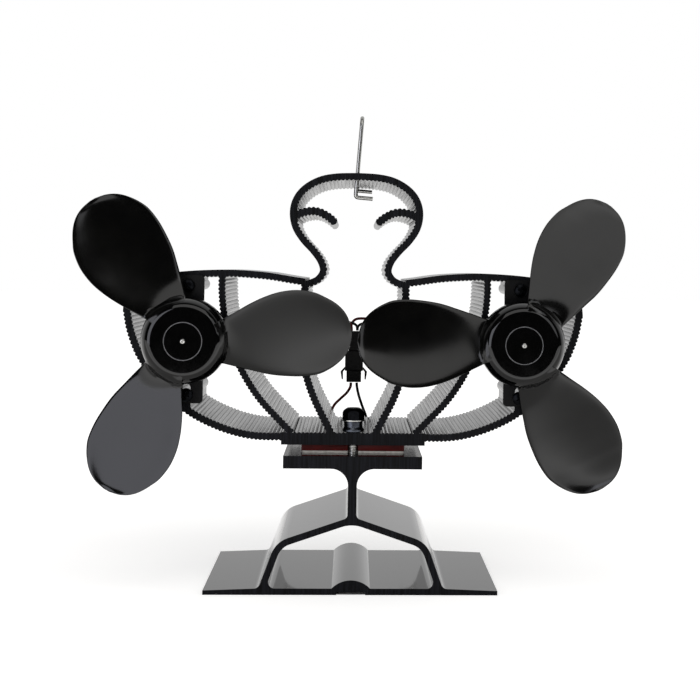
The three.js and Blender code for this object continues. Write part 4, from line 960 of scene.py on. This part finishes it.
hub_depth, hub_radius, hub_flat_radius, hub_dome_depth, hub_wall = 11.5, 16.7, 12.3, 7.6, 1.6
hub_boss_radius = 3.6
hub_y = bracket_front - 4 - hub_depth
ring_radius, ring_width, ring_depth = 7.2, 0.35, 0.28
blade_count = 3
blade_tip_radius, blade_half_chord = 63.9, 16.8
root_thickness, tip_thickness = 2.4, 1.3
root_slope_share, tip_slope_share = 0.34, 0.24
root_camber, tip_camber = 0.8, 2.5
blade_middle_y = hub_depth / 2 - 0.4
root_blend, root_blend_run, root_lift, skirt_rise = 7, 3, 0.04, 0.8
section_power, tip_thinning = 0.7, 3
core_inset, core_face = 0.7, 0.8
blade_shares = [  # radius to the tip's, half chord and rise of its middle to the widest one
    (0.12, 0.36, -0.09), (0.188, 0.44, -0.083), (0.25, 0.54, -0.062), (0.313, 0.64, -0.042),
    (0.407, 0.786, -0.006), (0.501, 0.908, 0.015), (0.595, 0.979, 0.033), (0.689, 1, 0.03),
    (0.783, 0.952, 0.012), (0.845, 0.854, 0), (0.908, 0.705, 0), (0.955, 0.53, 0),
    (0.985, 0.32, 0), (1, 0.06, 0),
]


def hub():
    """A flat face with a scored ring in a painted highlight, a domed shoulder, a skirt, and the
    boss inside.
    """
    inner, outer = ring_radius - ring_width / 2, ring_radius + ring_width / 2
    front = [(0, 0), (inner, 0), (inner + 0.05, ring_depth), (outer - 0.05, ring_depth), (outer, 0),
             (hub_flat_radius - 0.3, 0)]
    front += quarter(hub_flat_radius, 0, hub_radius - hub_flat_radius, hub_dome_depth)
    inside = hub_radius - hub_wall
    back = [(hub_radius, hub_depth - 0.2), (hub_radius - 0.2, hub_depth),
            (inside + 0.15, hub_depth)]
    back += reversed(quarter(hub_flat_radius - hub_wall, 2 * hub_wall,
                             inside - hub_flat_radius + hub_wall, hub_dome_depth - hub_wall, 8))
    boss = [(hub_boss_radius + 0.3, 2 * hub_wall), (hub_boss_radius, 2 * hub_wall + 0.3),
            (hub_boss_radius, hub_depth - 0.2), (hub_boss_radius - 0.2, hub_depth), (0, hub_depth)]
    body = combined(turned([*front, *back, *boss], 96), rod(shaft_radius + 0.05, -1, hub_depth + 1))
    # The ring's faces take the third finish: a painted highlight on a real groove
    for face in body.faces:
        middle = face.calc_center_median()
        if inner < math.hypot(middle.x, middle.z) < outer and middle.y < 2 * ring_depth:
            face.material_index = 2
    return body


def shoulder_y(radius):
    """How far behind its face the hub's shoulder lies at a radius."""
    out = (radius - hub_flat_radius) / (hub_radius - hub_flat_radius)
    if out > 1:
        return hub_dome_depth + skirt_rise * (radius - hub_radius)
    return hub_dome_depth * (1 - math.sqrt(1 - max(0, out) ** 2))


def faired(y, x, z):
    """A point on the blade's front, brought forward in a fillet where it meets the shoulder."""
    radius = math.hypot(x, z)
    shoulder = shoulder_y(radius) + root_lift
    blend = root_blend * max(0.001, min(1, (radius - hub_flat_radius) / root_blend_run))
    near = max(0, blend - abs(y - shoulder)) / blend
    return min(y, shoulder) - near * near * blend / 4


def blade(around=36):
    """One blade along X: a leaf swept out from the hub, its upper edge to the front."""
    root_share = blade_shares[1][0]
    body = bmesh.new()
    rings = []
    for station in spline([Vector(share) for share in blade_shares], 0.5, 0, 5):
        reach, width, rise = station
        share = max(0, (reach - root_share) / (1 - root_share))
        slope = root_slope_share + (tip_slope_share - root_slope_share) * share
        thickness = root_thickness + (tip_thickness - root_thickness) * share
        camber = (root_camber + (tip_camber - root_camber) * share) * width
        ring = []
        for j in range(around):
            angle = 2 * math.pi * j / around
            across = math.cos(angle)
            z = across * blade_half_chord * width
            side = math.sin(angle)
            skin = math.copysign(abs(side) ** section_power, side) * thickness / 2
            y = (blade_middle_y - slope * z + camber * (1 - across * across)
                 + skin * min(1, tip_thinning * width))
            x, z = reach * blade_tip_radius, z + rise * blade_half_chord
            ring.append(body.verts.new((x, faired(y, x, z) if side < 0.01 else y, z)))
        rings.append(ring)
    for a, b in zip(rings, rings[1:]):
        for j in range(around):
            k = (j + 1) % around
            body.faces.new((a[j], a[k], b[k], b[j]))
    body.faces.new(rings[0])
    body.faces.new(rings[-1])
    bmesh.ops.recalc_face_normals(body, faces=body.faces)
    mesh = bpy.data.meshes.new("blade")
    body.to_mesh(mesh)
    body.free()
    return mesh


def propeller():
    """The hub with its blades, cut off inside its shell."""
    blades = grown(blade(), blades_round_hub, {"Count": blade_count, "Finish": satin_nylon})
    core_radius = hub_radius - hub_wall / 2
    core = [(0, -1), (hub_flat_radius - 3, -1)]
    core += quarter(hub_flat_radius - core_inset, core_face,
                    core_radius - hub_flat_radius + core_inset, hub_dome_depth)
    core += [(core_radius, hub_depth + 5), (0, hub_depth + 5)]
    blades = combined(blades, turned(core, 96))
    for face in blades.faces:
        face.material_index = 1
    return joined([hub(), blades])


rest_angles = {"left": 3.7, "right": 179.1}
for side, x in sides:
    place = Matrix.Translation((x, -sink_depth / 2, fan_z))
    settle(f"can_{side}", moved(motor_can(), place), [plated_steel], [f"motor_can_{side}"])
    settle(f"end_cap_{side}", moved(motor_cap(), place), [moulded_nylon],
           [f"motor_end_cap_{side}"])
    for pole, place_x in (("plus", -tab_x), ("minus", tab_x)):
        settle(f"terminal_{side}_{pole}", moved(brush(place_x), place), [enamelled_copper],
               [f"brush_{side}_{pole}"])
    settle(f"shaft_{side}", moved(motor_shaft(), place), [plated_steel],
           [f"motor_shaft_{side}"], f"{side}_fan")
    rest = Matrix.Rotation(-math.radians(rest_angles[side]), 4, "Y")
    fan = moved(propeller(), Matrix.Translation((x, hub_y, fan_z)) @ rest)
    settle(f"propeller_blades_{side}", fan, [polished_nylon, satin_nylon, scored_ring_painted_highlight],
           [f"propeller_{side}"], f"{side}_fan", 40)


# Clamp screws on the centre line, the front one on a washer and a collar

clamp_radius, clamp_depth, head_half_across = 2, 3.4, 3.75
collar_bottom = plate_top + film_gap
collar_top = collar_bottom + 4.1
washer_bottom = collar_top + film_gap
washer_top = washer_bottom + 0.6
thread_pitch, thread_ridge = 0.6, 0.17
dome_drop, dome_inset, dome_steps = 2.2, 1.9, 6
washer_radius, collar_radius, collar_neck_radius = 4.3, 4.25, 3.6


def clamp_screw(y, head_bottom, head_height):
    """A hexagon head with a domed top on a threaded shank."""
    corner = head_half_across / math.cos(math.pi / 6)
    top = head_bottom + head_height
    dome = [(0, head_bottom - 1), (corner + 1, head_bottom - 1), (corner + 1, top - 2.4)]
    dome += [(corner + 0.05 - dome_inset * (i / dome_steps) ** 2,
              top - dome_drop + dome_drop * i / dome_steps) for i in range(dome_steps + 1)]
    head = combined(rod(corner, head_bottom, top, 6), turned([*dome, (0, top)], 64), "INTERSECT")
    tip = stand_height - clamp_depth
    shank = rod(clamp_radius - thread_ridge, tip, head_bottom + film_gap)
    ridges = grown(line_mesh([(0, y, tip + thread_pitch / 2)]), thread_ridges, {
        "Radius": clamp_radius - thread_ridge, "Ridge": thread_ridge, "Pitch": thread_pitch,
        "Count": int((head_bottom - tip) / thread_pitch), "Finish": black_oxide_steel})
    bare = joined([raised(shank, y), ridges])
    for face in bare.faces:
        face.material_index = 1
    return joined([raised(eased(head, 0.15, 40), y), bare])


def ring_on_screw(corners):
    """A ring round the front clamp screw, of corners of (radius, height, rounding)."""
    return raised(turned(rounded(corners), 64, closed=True), -clamp_y)


washer = ring_on_screw([
    (clamp_bore, washer_bottom), (washer_radius, washer_bottom, 0.15),
    (washer_radius, washer_top, 0.15), (clamp_bore, washer_top),
])
collar = ring_on_screw([
    (clamp_bore, collar_bottom), (collar_radius, collar_bottom, 0.2),
    (collar_radius, collar_bottom + 0.9, 0.4), (collar_neck_radius, collar_bottom + 1.8, 0.5),
    (collar_neck_radius, collar_top, 0.25), (clamp_bore, collar_top),
])
hex_screws = {"front": (-clamp_y, washer_top + film_gap, 4.6),
              "rear": (clamp_y, plate_top + film_gap, 3.1)}
for end, sizes in hex_screws.items():
    settle(f"hex_screw_{end}", clamp_screw(*sizes), [black_oxide_steel, plated_steel],
           [f"clamp_screw_{end}"])
settle("washer_front", washer, [plated_steel], ["clamp_washer"])
settle("collar_front", collar, [oiled_steel], ["clamp_collar"])


# The seal of the thermoelectric module, and the fibre strips under it

seal_half_width, seal_half_depth, seal_inside = 20.3, 29, 19.65
gasket_half_width, gasket_near = 20, 20.3


def sheet_round_screws(x_half, y_near, y_far, low, high, opening=None):
    """A rounded sheet as high as a box, with room for the clamp screws, and an opening."""
    outer = rounded_box(x_half, -y_far, -y_near, 0.8)
    holes = [disc(0, -y, clamp_bore) for y in (-clamp_y, clamp_y) if y_near < y < y_far]
    if opening:
        holes.append(rounded_box(opening, -opening, opening, 0))
    body = extruded([outer], low.z * 1000, high.z * 1000, holes)
    return eased(raised(body), 0.22, 60, 3)


seal_low, seal_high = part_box("module_seal")
strip_low, strip_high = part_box("module_gasket_front")
seal = sheet_round_screws(seal_half_width, -seal_half_depth, seal_half_depth, seal_low, seal_high,
                          seal_inside)
settle("silicone_seal", seal, [red_silicone], ["module_seal"])
for end, near, far in (("front", -seal_half_depth, -gasket_near),
                       ("rear", gasket_near, seal_half_depth)):
    strip = sheet_round_screws(gasket_half_width, near, far, strip_low, strip_high)
    settle(f"fibre_strip_{end}", strip, [ceramic_fibre], [f"module_gasket_{end}"])


# Bail handle, drawn about the middle of the head's top wall

wire_radius, handle_rise, handle_corner, hook_corner = 0.8, 25, 4, 1.3
front_hook_drop, rear_hook_drop, hook_length = 6.5, 3.95, 6.8
handle_lean, handle_pitch = math.radians(4), math.radians(3)


def handle():
    half = handle_hole_y * math.cos(handle_pitch)
    corners = [
        (Vector((hook_length, -half, -front_hook_drop)), 0),
        (Vector((0, -half, -front_hook_drop)), hook_corner),
        (Vector((0, -half, handle_rise)), handle_corner),
        (Vector((0, half, handle_rise)), handle_corner),
        (Vector((0, half, -rear_hook_drop)), hook_corner),
        (Vector((hook_length, half, -rear_hook_drop)), 0),
    ]
    line = [corners[0][0]]
    for before, (here, radius), after in zip(corners, corners[1:], corners[2:]):
        start = here + (before[0] - here).normalized() * radius
        end = here + (after[0] - here).normalized() * radius
        for i in range(13):
            t = i / 12
            line.append(start * (1 - t) ** 2 + here * 2 * t * (1 - t) + end * t * t)
    line.append(corners[-1][0])
    wire = grown(line_mesh(line, True), wire_along_line, {
        "Radius": wire_radius, "Sides": 24, "Finish": drawn_wire})
    turn = Matrix.Rotation(handle_lean, 4, "Y") @ Matrix.Rotation(handle_pitch, 4, "X")
    return moved(wire, Matrix.Translation((0, 0, head_top)) @ turn)


settle("bail_wire", handle(), [drawn_wire], ["handle"], "bail", 60)


# Lead connector

connector_y = 36.5
connector_top = sink_bottom + 41.9
plug_half_width, plug_half_depth, plug_length = 2.6, 2.3, 8.6
socket_half_width, socket_half_depth, socket_length = 3.9, 3, 8.7
tail_half_width, tail_half_depth, tail_length = 3.2, 2.4, 4.9
socket_top = connector_top - plug_length
socket_bottom = socket_top - socket_length
plug_ribs, plug_rib_rise, plug_rib_height, plug_play = (2, 3.5, 5), 0.15, 0.6, 0.2
latch_half_depth, latch_width = 1.4, 1.1
latch_reach, latch_start, latch_elbow, latch_end = 5.8, 6.4, 9.1, 12.5


def connector_block(half_width, half_depth, z_low, z_high, ease=0.35):
    body = block((-half_width, connector_y - half_depth, z_low),
                 (half_width, connector_y + half_depth, z_high))
    return eased(body, ease, 60)


def connector_plug():
    """The plug's shell with its ribs, and its tongue in the socket."""
    shell = connector_block(plug_half_width - plug_rib_rise, plug_half_depth - plug_rib_rise,
                            socket_top + film_gap, connector_top)
    tongue = connector_block(plug_half_width - 0.5, plug_half_depth - 0.5,
                             socket_top - 5, socket_top + 0.6, 0.1)
    ribs = [connector_block(plug_half_width, plug_half_depth, socket_top + z,
                            socket_top + z + plug_rib_height, 0.1) for z in plug_ribs]
    return joined([shell, tongue, *ribs])


def connector_socket():
    """The shell with the plug's room, the tail, and a slanted barb on each side."""
    shell = connector_block(socket_half_width, socket_half_depth, socket_bottom, socket_top)
    room = connector_block(plug_half_width - plug_play, plug_half_depth - plug_play,
                           socket_top - 5.3, socket_top + 1, 0.1)
    tail = connector_block(tail_half_width, tail_half_depth, socket_bottom - tail_length,
                           socket_bottom + 0.2)
    root = socket_half_width - latch_width / 2
    barbs = []
    for hand in (-1, 1):
        outline = [
            (root, -latch_start), (latch_reach, -latch_elbow),
            (latch_reach - latch_width / 2, -latch_end), (latch_reach - latch_width, -latch_end),
            (latch_reach - latch_width, -latch_elbow), (root, -latch_start - latch_width),
        ]
        barb = extruded([[(hand * x, socket_top + z) for x, z in outline]],
                        connector_y - latch_half_depth, connector_y + latch_half_depth)
        barbs.append(eased(barb, 0.15, 40))
    return joined([combined(shell, room), tail, *barbs])


settle("plug_housing", connector_plug(), [moulded_nylon], ["connector_plug"])
settle("socket_housing", connector_socket(), [moulded_nylon], ["connector_socket"])


# Leads, by the drawing's routes, with heights from the bottom of the heat sink

lead_radius = 0.6
lead_routes = {
    "motor_lead_left_red": [
        (-71.3, -16.3, 40.7), (-71.4, -13, 40.6), (-71.2, -6, 40), (-70, 6, 38.5),
        (-67.4, 18, 37.2), (-62.6, 28.4, 37.1), (-55, 34.6, 38.1), (-45, 36.7, 39.8),
        (-34, 37.3, 42), (-23, 37.4, 44.3), (-13.5, 37.2, 46.2), (-7, 36.9, 46.7),
        (-3.1, 36.4, 45.9), (-1.5, 35.9, 44.2), (-1.25, 35.8, 42.2),
    ],
    "motor_lead_left_black": [
        (-58.7, -16.3, 40.7), (-58.8, -13, 40.5), (-59.2, -6, 39.4), (-60, 6, 36.9),
        (-60, 18, 34.9), (-57.4, 28, 34.7), (-51, 34.4, 35.6), (-42.5, 36.7, 37.2),
        (-33, 37.4, 39.4), (-23, 37.6, 41.9), (-13.5, 37.8, 44.1), (-6, 37.8, 45.3),
        (-1.2, 37.75, 45.4), (0.9, 37.5, 44.2), (1.25, 37.2, 42.2),
    ],
    "motor_lead_right_red": [
        (71.3, -16.3, 40.7), (71.4, -13, 40.6), (71.2, -6, 40), (70, 6, 38.1), (67.2, 18, 36.6),
        (62, 28.4, 36.3), (54.4, 34.7, 37.3), (44.4, 37, 39.2), (33.4, 38, 41.7),
        (22.4, 38.6, 44.3), (13, 39, 46.4), (5.6, 39.3, 47.3), (0.6, 39.35, 47),
        (-1.1, 39.25, 45.4), (-1.4, 38.6, 43.8), (-1.25, 37.2, 42.2),
    ],
    "motor_lead_right_black": [
        (58.7, -16.3, 40.7), (58.8, -13, 40.5), (59.2, -6, 39.4), (60, 6, 36.9), (59.6, 18, 34.7),
        (56.6, 27.8, 34.2), (50, 34, 35), (41.6, 35.9, 36.5), (32, 36, 38.5), (22, 35.9, 41),
        (13, 35.8, 43.4), (6.6, 35.7, 45.1), (3, 35.7, 45.1), (1.5, 35.8, 43.9),
        (1.25, 35.8, 42.2),
    ],
    "module_lead_red": [
        (-1.2, 36.5, 19.3), (-1.4, 36.6, 17.5), (-2.9, 36.8, 14.9), (-5.8, 36.8, 12.1),
        (-8.4, 36.5, 9.3), (-9.6, 35.9, 6.1), (-9.6, 35.2, 3.1), (-9.2, 34.2, 0.4),
        (-8.9, 32.2, -1.3), (-8.8, 29.4, -1.7),
    ],
    "module_lead_black": [
        (1.3, 36.5, 19.3), (1.5, 36.6, 17.3), (2.1, 36.7, 14.5), (3.1, 36.7, 11.3),
        (4.3, 36.5, 8.1), (5.5, 36, 5.1), (6.2, 35.2, 2.4), (6.5, 34, 0.1), (6.6, 32.1, -1.4),
        (6.6, 29.4, -1.7),
    ],
}
for node, route in lead_routes.items():
    colour = node.split("_")[-1]
    insulation = red_insulation if colour == "red" else black_insulation
    line = spline([Vector(point) for point in route], 0.5, 1)
    even = [point for point, _ in spaced(line, round(line_length(line) / lead_radius))]
    lead = grown(line_mesh(even, True), wire_along_line, {
        "Radius": lead_radius, "Sides": 16, "Finish": insulation})
    settle(f"insulated_{node}", shifted(lead, z=sink_bottom), [insulation], [node],
           crease=60)


# The CAD nodes that stay take their finishes here

kept_nodes = {
    "bimetal_strip": rolled_bimetal,
    "bimetal_screw": plated_steel,
    "hot_pad": graphite_foil,
    "cold_pad": graphite_foil,
    "module_hot_ceramic": fired_alumina,
    "module_cold_ceramic": fired_alumina,
    "module_pellets": telluride,
}
for side, _ in sides:
    kept_nodes |= {
        f"motor_magnet_{side}": hard_ferrite,
        f"front_bush_{side}": sintered_bronze,
        f"rear_bush_{side}": sintered_bronze,
        f"rotor_core_{side}": stamped_laminations,
        f"rotor_coils_{side}": enamelled_copper,
        f"commutator_{side}": enamelled_copper,
    }
for node, finish in kept_nodes.items():
    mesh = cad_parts[node].data
    mesh.materials.clear()
    mesh.materials.append(finish)


# Floor and world, in metres

card_front, card_front_half, card_back = -1.1, 2.5, 6

# The card's painted glow beside the fan, the painted shade under the foot's edge, and the rise of
# the glow far from the fan
card_glow, edge_shade, edge_clear = 0.53, 0.0015, 0.0002
far_start, far_full, far_glow = 0.1, 0.4, 0.2

# Along Y, in gloss, where the painted pool of light starts and is full, where it falls off, and
# where the card brightens again behind the fan. Between the pool and the back the card is painted
# dark in gloss, as shade
pool_start, pool_full, fall_start, fall_end = -0.15, -0.225, -0.25, -0.4
behind_start, behind_full = 0.04, 0.1

# The studio's strength in front of the fan in gloss, and on what isn't glossy
studio_dark, studio_fill = 0.02, 0.45


def ray_kinds(tree):
    """Whether a ray comes from the camera, and whether it was mirrored or let through."""
    rays = add_node(tree, "ShaderNodeLightPath").outputs
    bounced = add_node(tree, "ShaderNodeMath", [
        rays["Is Glossy Ray"], rays["Is Transmission Ray"]], operation="MAXIMUM")
    return rays["Is Camera Ray"], bounced


def make_floor():
    """A pale card with a painted glow: near white to the camera, darker where the fan shades it,
    and with a painted shade under the foot.

    In gloss its painted glow is a pool of light before the fan that falls off to the front, a
    painted shade round the foot, and lit again behind.
    """
    mesh = bpy.data.meshes.new("floor")
    mesh.from_pydata([
        (-card_front_half, card_front, 0), (card_front_half, card_front, 0),
        (card_back, card_back, 0), (-card_back, card_back, 0)], [], [(0, 1, 2, 3)])
    floor = bpy.data.objects.new("floor", mesh)
    bpy.context.collection.objects.link(floor)
    material = bpy.data.materials.new("pale_card")
    material.use_nodes = True
    mesh.materials.append(material)
    tree = material.node_tree
    shader = tree.nodes["Principled BSDF"]
    shader.inputs["Base Color"].default_value = linear("#f2f1ef")
    shader.inputs["Roughness"].default_value = 0.9
    shader.inputs["Specular IOR Level"].default_value = 0.0
    fibres = add_node(tree, "ShaderNodeBump", {
        "Height": grain(tree, 2), "Strength": 0.2, "Distance": 0.0002})
    tree.links.new(fibres.outputs["Normal"], shader.inputs["Normal"])
    to_camera, in_gloss = ray_kinds(tree)
    place = add_node(tree, "ShaderNodeTexCoord").outputs["Object"]
    away = add_node(tree, "ShaderNodeVectorMath", [
        place, (stand_middle.x, stand_middle.y, 0)], operation="DISTANCE").outputs["Value"]
    along = add_node(tree, "ShaderNodeSeparateXYZ", [place]).outputs["Y"]
    # To the camera the glow is taken away under the foot, up to just inside its front edge: a
    # painted shade
    under_foot = stand_depth / 2 / 1000
    clear = add_node(tree, "ShaderNodeMapRange", [
        away, under_foot - edge_shade, under_foot - edge_clear, 0.0, card_glow])
    direct = add_node(tree, "ShaderNodeMath", [to_camera, clear], operation="MULTIPLY")
    # In gloss: a painted pool of light before the fan, painted shade nearer the fan and round the
    # foot, and the glow again behind
    pool = add_node(tree, "ShaderNodeMapRange", [along, pool_full, pool_start, 1.0, 0.0])
    fall = add_node(tree, "ShaderNodeMapRange", [along, fall_end, fall_start, card_glow, 1.0])
    behind = add_node(tree, "ShaderNodeMapRange", [
        along, behind_start, behind_full, 0.0, card_glow])
    in_front = add_node(tree, "ShaderNodeMath", [pool, fall], operation="MULTIPLY")
    glossy = add_node(tree, "ShaderNodeMath", [in_front, behind], operation="ADD")
    glossy = add_node(tree, "ShaderNodeMath", [glossy, in_gloss], operation="MULTIPLY")
    lift = add_node(tree, "ShaderNodeMath", [direct, glossy], operation="ADD")
    beyond = add_node(tree, "ShaderNodeMapRange", [away, far_start, far_full, 0.0, far_glow],
                      interpolation_type="SMOOTHSTEP")
    even = add_node(tree, "ShaderNodeMath", [to_camera, beyond], operation="MULTIPLY")
    lift = add_node(tree, "ShaderNodeMath", [lift, even], operation="ADD")
    glow = add_node(tree, "ShaderNodeEmission", {"Color": (1, 1, 1, 1), "Strength": lift})
    both = add_node(tree, "ShaderNodeAddShader", [shader, glow])
    tree.links.new(both.outputs[0], tree.nodes["Material Output"].inputs["Surface"])


def make_world():
    """White behind the object, as seen and in gloss; the studio in front of it is dark."""
    world = bpy.data.worlds.new("studio")
    bpy.context.scene.world = world
    world.use_nodes = True
    tree = world.node_tree
    tree.nodes.clear()
    to_camera, in_gloss = ray_kinds(tree)
    direction = add_node(tree, "ShaderNodeTexCoord").outputs["Generated"]
    parts = add_node(tree, "ShaderNodeSeparateXYZ", [direction]).outputs
    behind = add_node(tree, "ShaderNodeMapRange", [parts["Y"], -0.1, 0.25, studio_dark, 1.0])
    upper = add_node(tree, "ShaderNodeMapRange", [parts["Z"], 0.06, 0.18, 0.8, 0.7])
    backdrop = add_node(tree, "ShaderNodeMath", [behind, upper], operation="MULTIPLY")
    white = (1, 1, 1, 1)
    gloss = add_node(tree, "ShaderNodeBackground", {"Color": white, "Strength": backdrop})
    fill = add_node(tree, "ShaderNodeBackground", {"Color": white, "Strength": studio_fill})
    plain = add_node(tree, "ShaderNodeBackground", {"Color": white, "Strength": 1.0})
    lit = add_node(tree, "ShaderNodeMixShader", [in_gloss, fill, gloss])
    seen = add_node(tree, "ShaderNodeMixShader", [to_camera, lit, plain])
    add_node(tree, "ShaderNodeOutputWorld", [seen])


make_camera()
make_floor()
make_world()
make_softboxes()
bpy.context.scene.view_settings.view_transform = "Standard"
